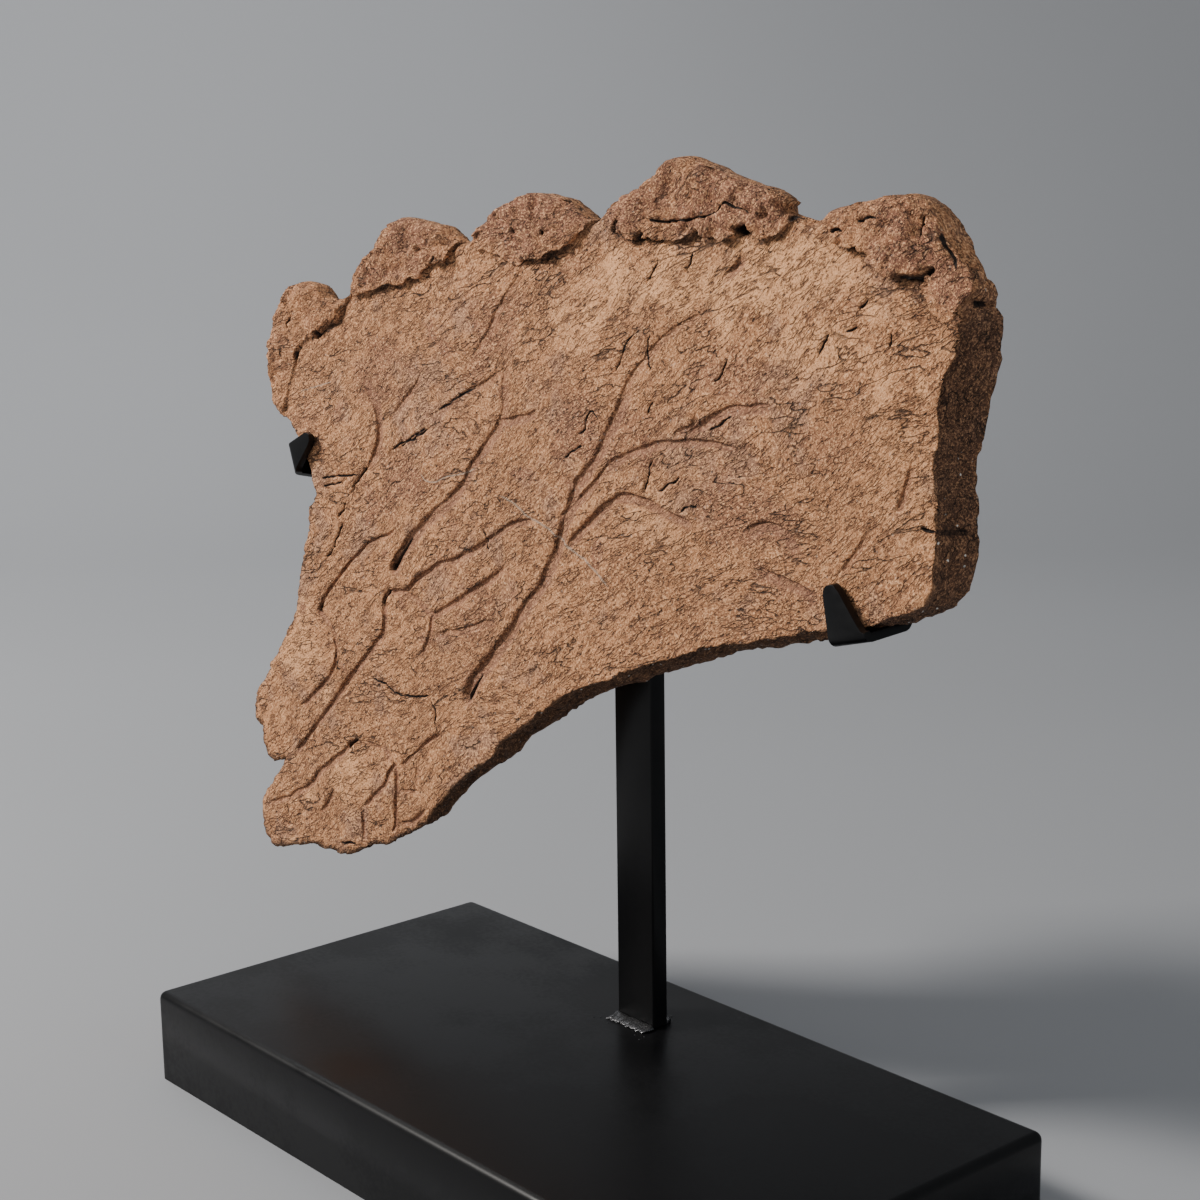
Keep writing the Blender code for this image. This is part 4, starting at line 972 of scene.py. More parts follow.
def build_bone_mesh(strength):
    """The bone as one closed mesh, with a mask for each kind of surface."""
    relief = Relief(strength)
    outline = bone_outline(relief)
    normals = line_normals(outline)
    by_margin = distance_field(outline, relief.natural, 8.0) < 7.5
    front_flat, front_faces, front_ring = front_layout(relief, outline, normals, by_margin)
    ring = front_flat[front_ring]
    back_flat, back_faces, back_ring = back_layout(ring, outline, normals, by_margin)

    front_w, slide, masks = relief.front(front_flat)
    slide *= smooth(0.4, 3.0, edge_distance(front_flat, outline, 3.0))[:, None]
    front = np.column_stack([front_flat + slide, front_w])
    front[:, 0] -= end_inset(front_flat)
    back_w = relief.back(back_flat)
    back = np.column_stack([back_flat, back_w])
    broken = relief.brokenness(ring)
    ring_normals = line_normals(ring)
    rows = wall_rows(broken, ring, ring_normals, front_w[front_ring], back_w[back_ring])
    lean = ring_normals * edge_lean(ring)[:, None]
    front[front_ring, :2] -= lean
    back[back_ring, :2] += lean
    points = np.concatenate([front, back, *rows])
    points[:, 0] += knob_shift(points)

    wall = np.arange(len(front) + len(back), len(points)).reshape(-1, len(ring))
    rings = [np.array(front_ring), *wall, np.array(back_ring) + len(front)]
    faces = [front_faces, back_faces[:, ::-1] + len(front)]
    for upper, lower in zip(rings, rings[1:]):
        below = np.roll(lower, -1)
        faces.append(np.stack([upper, np.roll(upper, -1), below], axis=1))
        faces.append(np.stack([upper, below, lower], axis=1))

    full = {name: np.append(values, np.zeros(len(points) - len(values))) for name, values in masks.items()}
    raw = broken * (1.0 - 0.55 * smooth(84.0, 90.0, ring[:, 1]) * smooth(END_START, 210.0, ring[:, 0]))
    full["broken"][wall] = raw
    for edge in (rings[0], rings[-1]):
        full["broken"][edge] = raw * 0.6
    for k, row in enumerate(wall[:-1], 1):
        raise_to(full["crack"], row, end_cracks(ring, k / WALL_ROWS)[0])
    return to_world(clear_of_hooks(points)), np.concatenate(faces), full


def new_object(name, data):
    """A named object in the scene that holds the given data."""
    thing = bpy.data.objects.new(name, data)
    bpy.context.scene.collection.objects.link(thing)
    return thing


def mesh_object(name, points, faces, masks):
    """A named object from arrays of points and triangles, with its masks as attributes."""
    data = bpy.data.meshes.new(name)
    data.vertices.add(len(points))
    data.vertices.foreach_set("co", np.asarray(points, np.float32).ravel())
    data.loops.add(faces.size)
    data.loops.foreach_set("vertex_index", np.asarray(faces, np.int32).ravel())
    data.polygons.add(len(faces))
    data.polygons.foreach_set("loop_start", np.arange(0, faces.size, 3, dtype=np.int32))
    data.update(calc_edges=True)
    data.validate()
    for mask, values in masks.items():
        data.attributes.new(mask, "FLOAT", "POINT").data.foreach_set("value", values.astype(np.float32))
    data.shade_smooth()
    return new_object(name, data)


# ---- the stand's pieces --------------------------------------------------------------------------
def finish_piece(name, mesh, material, smooth_angle=35.0):
    """Closes a bmesh into a named object with its material, smooth where it is round."""
    bmesh.ops.recalc_face_normals(mesh, faces=mesh.faces[:])
    data = bpy.data.meshes.new(name)
    mesh.to_mesh(data)
    mesh.free()
    data.shade_smooth()
    data.set_sharp_from_angle(angle=math.radians(smooth_angle))
    data.materials.append(material)
    return new_object(name, data)


def box_mesh(low, high):
    """A bmesh box between two corners in millimetres."""
    mesh = bmesh.new()
    bmesh.ops.create_cube(mesh, size=1.0)
    size = Vector(high) - Vector(low)
    centre = (Vector(high) + Vector(low)) * 0.5
    for vert in mesh.verts:
        vert.co = (vert.co * size + centre) * MM
    return mesh


def round_edges(mesh, edges, radius, segments):
    """Rounds edges to a radius in millimetres."""
    bmesh.ops.bevel(mesh, geom=edges, offset=radius * MM, segments=segments, profile=0.5,
                    affect="EDGES", clamp_overlap=True)


def skin_rows(mesh, rows):
    """Joins rings of vertices into a closed skin, with a cap at each end."""
    for upper, lower in zip(rows, rows[1:]):
        for i in range(len(upper)):
            j = (i + 1) % len(upper)
            mesh.faces.new((upper[i], upper[j], lower[j], lower[i]))
    mesh.faces.new(rows[0][::-1])
    mesh.faces.new(rows[-1])


def world_point(u, v, w):
    """A point of the plate frame in millimetres, as a world point in metres."""
    return Vector(to_world(np.array([(u, v, w)], float))[0])


def hold(piece, node):
    """Makes a dressed piece stand for its CAD node and ride with the object."""
    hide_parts(node)
    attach(piece, BODY)


def build_base(edge_radius, material):
    """A box folded from steel sheet: closed on top and on its four sides, open underneath."""
    half_x = BASE_LENGTH / 2
    half_y = BASE_DEPTH / 2
    shell = box_mesh((BASE_CENTRE_X - half_x, -half_y, 0.0), (BASE_CENTRE_X + half_x, half_y, BASE_HEIGHT))
    bottom = [f for f in shell.faces if f.normal.z < -0.5]
    bmesh.ops.delete(shell, geom=bottom, context="FACES")
    corners = [e for e in shell.edges if not all(v.co.z < MM for v in e.verts)]
    round_edges(shell, corners, edge_radius, 6)
    base = finish_piece("base_box", shell, material)
    sheet = base.modifiers.new("sheet", "SOLIDIFY")
    sheet.thickness = BASE_SHEET * MM
    sheet.offset = -1.0
    sheet.use_even_offset = True
    return base


def build_upright(material):
    """The flat bar that stands on the base, with its drawn edges slightly rounded."""
    bar = box_mesh((BAR_LEFT, BAR_FRONT_Y, BASE_HEIGHT + CONTACT_GAP),
                   (BAR_RIGHT, BAR_FRONT_Y + BAR_THICKNESS, BAR_TOP))
    round_edges(bar, bar.edges[:], 0.9, 4)
    return finish_piece("upright_bar", bar, material)


def build_cross_bar(material):
    """The flat bar behind the bone, leaning with it, that ties the two hooks to the upright."""
    back = LEG_BACK_W - CONTACT_GAP - CROSS_THICKNESS
    bar = box_mesh((CROSS_LEFT, CROSS_LOW, back), (CROSS_RIGHT, CROSS_HIGH, back + CROSS_THICKNESS))
    for vert in bar.verts:
        vert.co = world_point(*(c / MM for c in vert.co))
    round_edges(bar, bar.edges[:], 0.7, 3)
    return finish_piece("cross_bar_strip", bar, material)


def finger_sides(n, hook):
    """The two sides of the finger at height n: it narrows to a rounded tip over its far side."""
    narrowing = min(1.0, max(0.0, (n - 3.0) / (hook.finger - 5.0))) ** 0.9
    right = hook.width + (hook.tip - hook.width) * narrowing
    over_tip = max(0.0, n - (hook.finger - hook.tip * 0.55)) / (hook.tip * 0.57)
    cut = hook.tip * 0.45 * (1.0 - math.sqrt(max(0.0, 1.0 - over_tip ** 2)))
    return cut, right - cut


def hook_path(hook):
    """The strip's middle line: down the finger, back along the ledge and up the leg.

    Each point is its w, its height above the ledge's underside, and the way its outer face looks in
    degrees, 90 where it looks out of the shown face.
    """
    half = STRIP_THICKNESS / 2
    bend = STRIP_BEND_RADIUS
    finger_w = FINGER_FACE_W - half
    leg_w = LEG_BACK_W + half
    path = [(finger_w, hook.finger * share, 90.0) for share in FINGER_ROWS]
    for centre_w, first in ((finger_w - bend, 90.0), (leg_w + bend, 0.0)):
        for i in range(BEND_STEPS + 1):
            facing = first - 90.0 * i / BEND_STEPS
            angle = math.radians(facing)
            path.append((centre_w + bend * math.sin(angle), half + bend - bend * math.cos(angle), facing))
    path.append((leg_w, hook.leg, -90.0))
    return path


def build_hook(name, hook, material):
    """A folded strip: finger in front of the bone, ledge under its edge, leg behind it."""
    along, up = heading(hook.direction)
    half = STRIP_THICKNESS / 2
    strip = bmesh.new()
    rows = []
    for w, n, facing in hook_path(hook):
        out_w = math.sin(math.radians(facing))
        out_n = -math.cos(math.radians(facing))
        left, right = finger_sides(n, hook) if facing == 90.0 else (0.0, hook.width)
        row = []
        for a, side in ((left, 1), (right, 1), (right, -1), (left, -1)):
            u, v = hook.corner + along * a + up * (n + out_n * half * side)
            depth = w + out_w * half * side
            row.append(strip.verts.new(world_point(u, v + (FINGER_FACE_W - depth) * hook.climb, depth)))
        rows.append(row)
    skin_rows(strip, rows)
    bmesh.ops.recalc_face_normals(strip, faces=strip.faces[:])
    corners = [e for e in strip.edges if len(e.link_faces) == 2 and e.calc_face_angle() > 0.9]
    round_edges(strip, corners, 0.45, 3)
    return finish_piece(name, strip, material, 50.0)


def build_weld(bead, material):
    """A fillet bead in the corner between two faces: overlapping ripples, each a shallow scallop."""
    mesh = bmesh.new()
    start, end = Vector(bead.start), Vector(bead.end)
    out_a, out_b = Vector(bead.out_a), Vector(bead.out_b)
    along = (end - start).normalized()
    rows = []
    for i in range(bead.ripples * RIPPLE_STEPS + 1):
        t = i / (bead.ripples * RIPPLE_STEPS)
        phase = (i % RIPPLE_STEPS) / RIPPLE_STEPS
        ridge = 1.0 - 0.14 * (1.0 - math.sin(math.pi * (0.15 + 0.85 * phase)))
        wander = 1.0 + 0.18 * noise.noise((t * 5.0, bead.size, 2.0))
        ends = min(1.0, math.sqrt(max(0.0, min(t, 1.0 - t)) * bead.ripples * 1.6) + 0.25)
        reach = bead.size * ridge * wander * ends
        root = start.lerp(end, t)
        row = [root]
        for k in range(BEAD_ARC + 1):
            angle = math.radians(90.0 * k / BEAD_ARC)
            bow = math.sin(2.0 * angle)
            out = out_a * math.cos(angle) + out_b * (bead.rise * math.sin(angle))
            row.append(root + along * bead.size * 0.22 * bow * ends + out * reach * (1.0 - 0.10 * bow))
        rows.append([mesh.verts.new(p * MM) for p in row])
    skin_rows(mesh, rows)
    return finish_piece(bead.node + "_bead", mesh, material, 60.0)


def weld_beads():
    """The stand's five weld beads."""
    floor = BASE_HEIGHT + CONTACT_GAP
    front = BAR_FRONT_Y - CONTACT_GAP
    rear = BAR_FRONT_Y + BAR_THICKNESS + CONTACT_GAP
    behind = LEG_BACK_W - CONTACT_GAP
    under = CROSS_LOW - CONTACT_GAP
    top = world_point(0.0, CROSS_HIGH + CONTACT_GAP, behind).z / MM
    shown, back, up = (0, -1, 0), (0, 1, 0), (0, 0, 1)
    beads = [
        Bead("foot_weld_front", (BAR_LEFT - 2.0, front, floor), (BAR_RIGHT + 0.5, front, floor),
             shown, up, 7.6, 8, 0.26),
        Bead("foot_weld_rear", (BAR_LEFT + 1.0, rear, floor), (BAR_RIGHT - 1.0, rear, floor),
             back, up, 4.2, 7),
        Bead("cross_weld", (BAR_LEFT + 2.0, front, top), (BAR_RIGHT - 2.0, front, top), shown, up, 4.0, 8),
    ]
    for node, low_u, high_u in (("left_leg_weld", -236.0, -218.0), ("right_leg_weld", 163.0, 180.0)):
        start = world_point(low_u, under, behind) / MM
        end = world_point(high_u, under, behind) / MM
        beads.append(Bead(node, start, end, -AXIS_W, -AXIS_V, 3.5, 6))
    return beads


def build_spatter(material):
    """Small beads of weld spatter on the base round the bar's foot."""
    noise.seed_set(SPATTER_SEED)
    drops = bmesh.new()
    for i in range(SPATTER_DROPS):
        where = noise.noise_vector((i * 3.7, 1.3, 8.1))
        x = BAR_CENTRE_X + where.x * 30.0 + (10.0 if i % 2 else -8.0)
        if i % 3 == 0:
            y = BAR_FRONT_Y + BAR_THICKNESS + 9.0 + abs(where.y) * 8.0
        else:
            y = BAR_FRONT_Y - 8.5 - abs(where.y) * 7.0
        radius = (0.35 + 0.35 * abs(where.z)) * MM
        made = bmesh.ops.create_icosphere(drops, subdivisions=2, radius=radius)
        for vert in made["verts"]:
            vert.co.z *= 0.6
            vert.co += Vector((x, y, BASE_HEIGHT + 0.12)) * MM
    return finish_piece("weld_spatter", drops, material)


# ---- materials -----------------------------------------------------------------------------------
def feed(tree, socket, value):
    """Links another node's output into a socket, or sets the socket to a plain value."""
    if isinstance(value, bpy.types.NodeSocket):
        tree.links.new(value, socket)
    elif socket.type == "RGBA":
        socket.default_value = (*tuple(value)[:3], 1.0)
    else:
        socket.default_value = value


def put(tree, kind, settings=None, **inputs):
    """A node with its settings, and its inputs fed by name; _0 to _9 name them by place."""
    made = tree.nodes.new(kind)
    for name, value in (settings or {}).items():
        setattr(made, name, value)
    for name, value in inputs.items():
        feed(tree, made.inputs[int(name[1:]) if name[0] == "_" else name.replace("_", " ")], value)
    return made


def math_node(tree, operation, a, b=0.0, clamp=False):
    """A Math node's value."""
    settings = {"operation": operation, "use_clamp": clamp}
    return put(tree, "ShaderNodeMath", settings, _0=a, _1=b).outputs[0]


def ramp(tree, value, low, high, start=0.0, end=1.0):
    """An eased change from start to end while value goes from low to high."""
    return put(tree, "ShaderNodeMapRange", {"interpolation_type": "SMOOTHSTEP"}, Value=value,
               From_Min=low, From_Max=high, To_Min=start, To_Max=end).outputs["Result"]


def mix_colour(tree, share, a, b):
    """Colour a turning into colour b as share goes from 0 to 1."""
    return put(tree, "ShaderNodeMix", {"data_type": "RGBA"}, _0=share, _6=a, _7=b).outputs[2]


def noise_value(tree, place, scale, detail, roughness=0.5):
    """A Noise Texture's value."""
    return put(tree, "ShaderNodeTexNoise", Vector=place, Scale=scale, Detail=detail,
               Roughness=roughness).outputs["Fac"]


def new_group(name, inputs, output, kind="NodeSocketFloat"):
    """A shader node group that takes a vector and the named numbers, and gives one output."""
    tree = bpy.data.node_groups.new(name, "ShaderNodeTree")
    tree.interface.new_socket("Vector", in_out="INPUT", socket_type="NodeSocketVector")
    for socket, value in inputs.items():
        made = tree.interface.new_socket(socket, in_out="INPUT", socket_type="NodeSocketFloat")
        made.default_value = value
    tree.interface.new_socket(output, in_out="OUTPUT", socket_type=kind)
    return tree, tree.nodes.new("NodeGroupInput").outputs, tree.nodes.new("NodeGroupOutput").inputs[0]


def use_group(tree, group, **inputs):
    """What a node group gives for these inputs."""
    return put(tree, "ShaderNodeGroup", {"node_tree": bpy.data.node_groups[group]}, **inputs).outputs[0]


def build_mottle_group():
    """Uneven tone at two sizes, for anything that has aged or been coated by hand."""
    sizes = {"Patch Size": 0.05, "Grain Size": 0.004, "Grain Share": 0.4}
    tree, given, made = new_group("mottle", sizes, "Tone")
    patches, grain = (
        ramp(tree, noise_value(tree, given["Vector"], math_node(tree, "DIVIDE", 1.0, given[size]), 3.0, 0.55),
             0.32, 0.68)
        for size in ("Patch Size", "Grain Size"))
    rest = math_node(tree, "SUBTRACT", 1.0, given["Grain Share"])
    patches = math_node(tree, "MULTIPLY", patches, rest)
    grain = math_node(tree, "MULTIPLY", grain, given["Grain Share"])
    feed(tree, made, math_node(tree, "ADD", patches, grain))


def build_grain_group():
    """Coordinates that run with the fibres of the bone: warped, turned and drawn out along them."""
    sizes = {"Length": 0.004, "Width": 0.0015, "Turn": 0.0}
    tree, given, made = new_group("bone_grain", sizes, "Grain Vector", "NodeSocketVector")
    warp = put(tree, "ShaderNodeTexNoise", Vector=given["Vector"], Scale=11.0, Detail=1.0)
    centred = put(tree, "ShaderNodeVectorMath", {"operation": "SUBTRACT"}, _0=warp.outputs["Color"],
                  _1=(0.5, 0.5, 0.5))
    bent = put(tree, "ShaderNodeVectorMath", {"operation": "MULTIPLY_ADD"}, _0=centred.outputs[0],
               _1=(0.024, 0.024, 0.024), _2=given["Vector"])
    turn = math_node(tree, "SUBTRACT", given["Turn"], GRAIN_ANGLE)
    rotation = put(tree, "ShaderNodeCombineXYZ", Y=turn)
    size = put(tree, "ShaderNodeCombineXYZ", X=given["Length"], Y=given["Width"], Z=given["Width"])
    laid = put(tree, "ShaderNodeMapping", {"vector_type": "TEXTURE"}, Vector=bent.outputs[0],
               Rotation=rotation.outputs[0], Scale=size.outputs[0])
    feed(tree, made, laid.outputs[0])


def build_strokes_group():
    """Thin winding strokes that run with the grain, broken up into short lengths."""
    sizes = {"Length": 0.004, "Width": 0.0015, "Turn": 0.0, "Thickness": 0.04, "Cover": 0.5}
    tree, given, made = new_group("grain_strokes", sizes, "Strokes")
    laid = use_group(tree, "bone_grain", Vector=given["Vector"], Length=given["Length"],
                     Width=given["Width"], Turn=given["Turn"])
    centred = math_node(tree, "SUBTRACT", noise_value(tree, laid, 1.0, 1.5), 0.5)
    line = ramp(tree, math_node(tree, "ABSOLUTE", centred), 0.0, given["Thickness"], 1.0, 0.0)
    low = math_node(tree, "SUBTRACT", 0.97, given["Cover"])
    kept = ramp(tree, noise_value(tree, laid, 0.55, 0.0), low, math_node(tree, "ADD", low, 0.08))
    feed(tree, made, math_node(tree, "MULTIPLY", line, kept))


def start_material(name, metallic):
    """An empty material with its shader and the object's own coordinates."""
    material = bpy.data.materials.new(name)
    material.use_nodes = True
    tree = material.node_tree
    shader = tree.nodes["Principled BSDF"]
    shader.inputs["Metallic"].default_value = metallic
    return material, tree, shader, tree.nodes.new("ShaderNodeTexCoord").outputs["Object"]


def dress(tree, shader, colour, roughness, height=None, strength=1.0, depth=0.0):
    """Feeds a shader its colour, its roughness and a bump of the given depth in metres."""
    feed(tree, shader.inputs["Base Color"], colour)
    feed(tree, shader.inputs["Roughness"], roughness)
    if height is not None:
        bump = put(tree, "ShaderNodeBump", Height=height, Strength=strength, Distance=depth)
        feed(tree, shader.inputs["Normal"], bump.outputs[0])


def build_bone_material(settings):
    """Mineralised bone: mottled tan and brown, fibrous, pitted and finely cracked."""
    material, tree, shader, place = start_material("bone_surface", 0.0)
    shader.inputs["Specular IOR Level"].default_value = 0.4
    pale, brown, groove, shade, hollow, crack, hairline, knob, broken = (
        put(tree, "ShaderNodeAttribute", {"attribute_name": name}).outputs["Fac"]
        for name in ("pale", "brown", "groove", "shade", "hollow", "crack", "hairline", "knob", "broken"))

    def times(a, b):
        return math_node(tree, "MULTIPLY", a, b)

    def less(a, b):
        return math_node(tree, "SUBTRACT", a, b)

    def mottle(patch, grain, share):
        return use_group(tree, "mottle", Vector=place, Patch_Size=patch, Grain_Size=grain, Grain_Share=share)

    # short wrinkles, longer folds, and fine open cracks, sunk in the bump and painted dark as shade
    wrinkle, fold, split = (
        use_group(tree, "grain_strokes", Vector=place, Length=length, Width=width, Turn=turn,
                  Thickness=thickness, Cover=cover)
        for length, width, turn, thickness, cover in (
            (0.006, 0.0017, 0.0, 0.085, 0.54), (0.013, 0.0033, 0.2, 0.044, 0.48),
            (0.026, 0.0060, 0.4, 0.024, 0.44)))
    # pores: specks sunk in the surface and painted dark as shade
    pore_place = use_group(tree, "bone_grain", Vector=place, Length=0.0028, Width=0.0016, Turn=0.25)
    pores = put(tree, "ShaderNodeTexVoronoi", Vector=pore_place, Scale=1.0)
    pore_size = put(tree, "ShaderNodeSeparateColor", Color=pores.outputs["Color"]).outputs[0]
    reach = ramp(tree, pore_size, 0.45, 1.0, 0.0, 0.42)
    pore = ramp(tree, less(reach, pores.outputs["Distance"]), 0.0, 0.10)
    # the sandy speckle of the surface: grain tone with painted highlight on its raised tops and painted shade
    # in its lows, and how much of it the smooth grooves let through
    sand_place = use_group(tree, "bone_grain", Vector=place, Length=0.0012, Width=0.0010)
    sand = noise_value(tree, sand_place, 1.0, 2.0, 0.8)
    calm = less(less(1.0, times(groove, 0.45)), times(knob, 0.05))
    # what lies open, and painted glints standing for bright mineral grains that catch the light, mostly in
    # the raw breaks
    # the open holes and cracks are painted near black as shade
    opened = math_node(tree, "MAXIMUM", hollow, ramp(tree, crack, 0.1, 0.6))
    cells = put(tree, "ShaderNodeTexVoronoi", Vector=place, Scale=520.0)
    pick = put(tree, "ShaderNodeSeparateColor", Color=cells.outputs["Color"]).outputs[0]
    glint = times(ramp(tree, pick, 0.965, 0.975), ramp(tree, cells.outputs["Distance"], 0.2, 0.4, 1.0, 0.0))
    glint = times(times(glint, math_node(tree, "ADD", broken, 0.15, True)), less(1.0, opened))

    grey = mottle(0.042, 0.012, 0.35)
    colour = mix_colour(tree, mottle(0.055, 0.008, 0.45), settings.bone_light, settings.bone_mid)
    for share, tint in (
            (ramp(tree, grey, 0.56, 0.92, 0.0, 0.65), settings.bone_grey),
            (times(pale, 0.80), settings.bone_tan),
            (times(brown, 0.80), settings.bone_red),
            (times(knob, ramp(tree, grey, 0.25, 0.62, 0.30, 1.0)), settings.bone_red),
            (times(groove, 0.85), settings.groove_colour),
            (times(ramp(tree, sand, 0.49, 0.66), calm), settings.pale_grain_and_highlight),
            (times(ramp(tree, sand, 0.33, 0.49, 0.68, 0.0), calm), settings.dark_grain_and_shade),
            (times(times(wrinkle, 0.60), calm), settings.dark_grain_and_shade),
            (times(times(fold, 0.66), calm), settings.dark_grain_and_shade),
            # painted shade on the groove lips and painted shadow below the knob ledges, in the dark grain
            # colour
            (times(shade, ramp(tree, sand, 0.35, 0.60, 0.95, 0.45)), settings.dark_grain_and_shade),
            (times(broken, ramp(tree, sand, 0.40, 0.62, 1.0, 0.62)), settings.break_colour),
            (times(times(pore, 0.62), calm), settings.pit_shade_colour),
            (times(times(split, 0.80), calm), settings.pit_shade_colour),
            (opened, settings.pit_shade_colour),
            (ramp(tree, hairline, 0.05, 0.8, 0.0, 0.7), settings.fill_colour),
            (glint, settings.glint_colour)):
        colour = mix_colour(tree, share, colour, tint)

    height = math_node(tree, "ADD", times(sand, 0.75), times(noise_value(tree, pore_place, 0.6, 3.0), 0.65))
    for mark, depth in ((wrinkle, 0.45), (fold, 0.70), (split, 0.90), (pore, 0.40)):
        height = less(height, times(mark, depth))
    rough = less(ramp(tree, sand, 0.3, 0.7, 0.92, 0.74), times(glint, 0.5))
    dress(tree, shader, colour, rough, times(height, calm), 1.0, settings.texture_depth)
    return material


def build_paint_material(settings):
    """Satin black powder coat, with its faint orange peel and a little dust."""
    material, tree, shader, place = start_material("black_coat", 0.0)
    shader.inputs["Specular IOR Level"].default_value = 0.20
    tone = use_group(tree, "mottle", Vector=place, Patch_Size=0.09, Grain_Size=0.003, Grain_Share=0.25)
    colour = mix_colour(tree, tone, settings.paint_colour, settings.paint_worn)
    middle = settings.paint_roughness
    rough = ramp(tree, tone, 0.2, 0.8, middle - 0.05, middle + 0.05)
    dress(tree, shader, colour, rough, noise_value(tree, place, 900.0, 2.0), 0.25, 0.00008)
    return material


def build_weld_material(settings):
    """Bare weld metal: dark grey, mottled with lighter grey."""
    material, tree, shader, place = start_material("weld_surface", 0.9)
    tone = use_group(tree, "mottle", Vector=place, Patch_Size=0.004, Grain_Size=0.0008, Grain_Share=0.5)
    colour = mix_colour(tree, tone, settings.weld_dark, settings.weld_bright)
    dress(tree, shader, colour, ramp(tree, tone, 0.2, 0.8, 0.42, 0.2), tone, 0.6, 0.0003)
    return material


def build_stage_material(settings):
    """A matt sweep with a barely uneven tone."""
    material, tree, shader, place = start_material("studio_sweep", 0.0)
    darker = [channel * 0.97 for channel in settings.floor_colour]
    soft = ramp(tree, noise_value(tree, place, 1.3, 1.0), 0.3, 0.7)
    dress(tree, shader, mix_colour(tree, soft, settings.floor_colour, darker), 0.9)
    return material


def shared_material(name, maker, settings):
    """A material that several operators use, built once, with the node groups that it needs."""
    for group, build in GROUP_BUILDERS.items():
        if group not in bpy.data.node_groups:
            build()
    return bpy.data.materials.get(name) or maker(settings)


GROUP_BUILDERS = {
    "mottle": build_mottle_group,
    "bone_grain": build_grain_group,
    "grain_strokes": build_strokes_group,
}


# ---- settings ------------------------------------------------------------------------------------
def colour_prop(name, description, default):
    """A colour that a user can change."""
    return bpy.props.FloatVectorProperty(name=name, description=description, subtype="COLOR", size=3,
                                         min=0.0, max=1.0, default=default)


def number_prop(name, description, default, low, high, **kind):
    """A number that a user can change, with its unit or subtype."""
    return bpy.props.FloatProperty(name=name, description=description, default=default, min=low,
                                   max=high, **kind)


def power_prop(name, description, default):
    """A light's power."""
    return number_prop(name, description, default, 0.0, 500.0, subtype="POWER", unit="POWER")


class FossilBoneSettings(bpy.types.PropertyGroup):
    """Colours and relief of the bone."""

    bone_light: colour_prop("Light bone", "Tan of the well kept surface", (0.60, 0.272, 0.121))
    bone_tan: colour_prop("Tan bone", "Clear tan of the palest patches", (0.97, 0.480, 0.222))
    bone_mid: colour_prop("Mid bone", "Brown of the duller patches", (0.405, 0.179, 0.082))
    # pale grain tone, also a painted highlight on the raised tops of the grain
    pale_grain_and_highlight: colour_prop("Pale grain", "Pale tops of the surface grain", (0.91, 0.495, 0.248))
    # dark grain tone, also painted shade in lows, creases, groove lips and below ledges
    dark_grain_and_shade: colour_prop("Dark grain", "Dark lows between the fibres", (0.100, 0.041, 0.021))
    bone_grey: colour_prop("Grey bone", "Smooth purple-grey patches", (0.33, 0.185, 0.125))
    bone_red: colour_prop("Red brown", "Red-brown cast of the knobs", (0.295, 0.123, 0.069))
    groove_colour: colour_prop("Groove", "Smooth floors of the vessel grooves", (0.275, 0.124, 0.074))
    # painted shade inside pores, cracks and holes
    pit_shade_colour: colour_prop("Pit", "Pores, cracks and holes", (0.018, 0.009, 0.006))
    break_colour: colour_prop("Break", "Raw broken bone", (0.085, 0.040, 0.023))
    fill_colour: colour_prop("Filler", "Pale filler in the mended hairlines", (0.50, 0.375, 0.280))
    # painted glints: highlights of bright mineral grains
    glint_colour: colour_prop("Glint", "Bright mineral grains", (0.85, 0.80, 0.72))
    relief: number_prop("Fibre relief", "Strength of the fibrous relief of the shown face",
                        1.0, 0.0, 3.0, subtype="FACTOR")
    texture_depth: number_prop("Texture depth", "Depth of the pores and wrinkles in the finish",
                               0.0013, 0.0, 0.003, unit="LENGTH", precision=5)


class StandSettings(bpy.types.PropertyGroup):
    """Finish of the welded steel stand."""

    paint_colour: colour_prop("Paint", "Satin black powder coat", (0.0022, 0.0022, 0.0026))
    paint_worn: colour_prop("Paint, dusty", "The coat where dust dulls it", (0.0045, 0.0045, 0.0050))
    paint_roughness: number_prop("Paint roughness", "Roughness of the powder coat",
                                 0.36, 0.05, 1.0, subtype="FACTOR")
    weld_dark: colour_prop("Weld, dark", "Weld metal in the hollows of its ripples", (0.030, 0.030, 0.033))
    weld_bright: colour_prop("Weld, bright", "Weld metal on the crests", (0.17, 0.17, 0.175))
    edge_radius: number_prop("Base fold radius", "Outer radius of the folded edges of the base, in mm",
                             4.5, 0.5, 12.0)


class StageSettings(bpy.types.PropertyGroup):
    """Floor, lights and camera."""

    floor_colour: colour_prop("Floor", "Plain pale floor and backdrop", (0.35, 0.36, 0.38))
    key_power: power_prop("Key light", "Power of the key light", 78.0)
    fill_power: power_prop("Fill light", "Power of the fill light", 7.0)
    side_power: power_prop("Side light", "Power of the light from the right", 5.0)
    back_power: power_prop("Back light", "Power of the light on the backdrop", 16.0)
    world_level: number_prop("Room light", "Level of the even light in the room", 0.24, 0.0, 2.0,
                             subtype="FACTOR")
    camera_place: bpy.props.FloatVectorProperty(
        name="Camera place", description="Where the camera stands", size=3, unit="LENGTH",
        subtype="TRANSLATION", default=(0.84855, -0.67143, 0.50949))
    camera_turn: bpy.props.FloatVectorProperty(
        name="Camera turn", description="How the camera is turned", size=3, unit="ROTATION",
        subtype="EULER", default=tuple(math.radians(a) for a in (78.1478, 0.7477, 49.1418)))
    lens: number_prop("Lens", "Focal length of the camera", 66.13, 10.0, 300.0, unit="CAMERA")


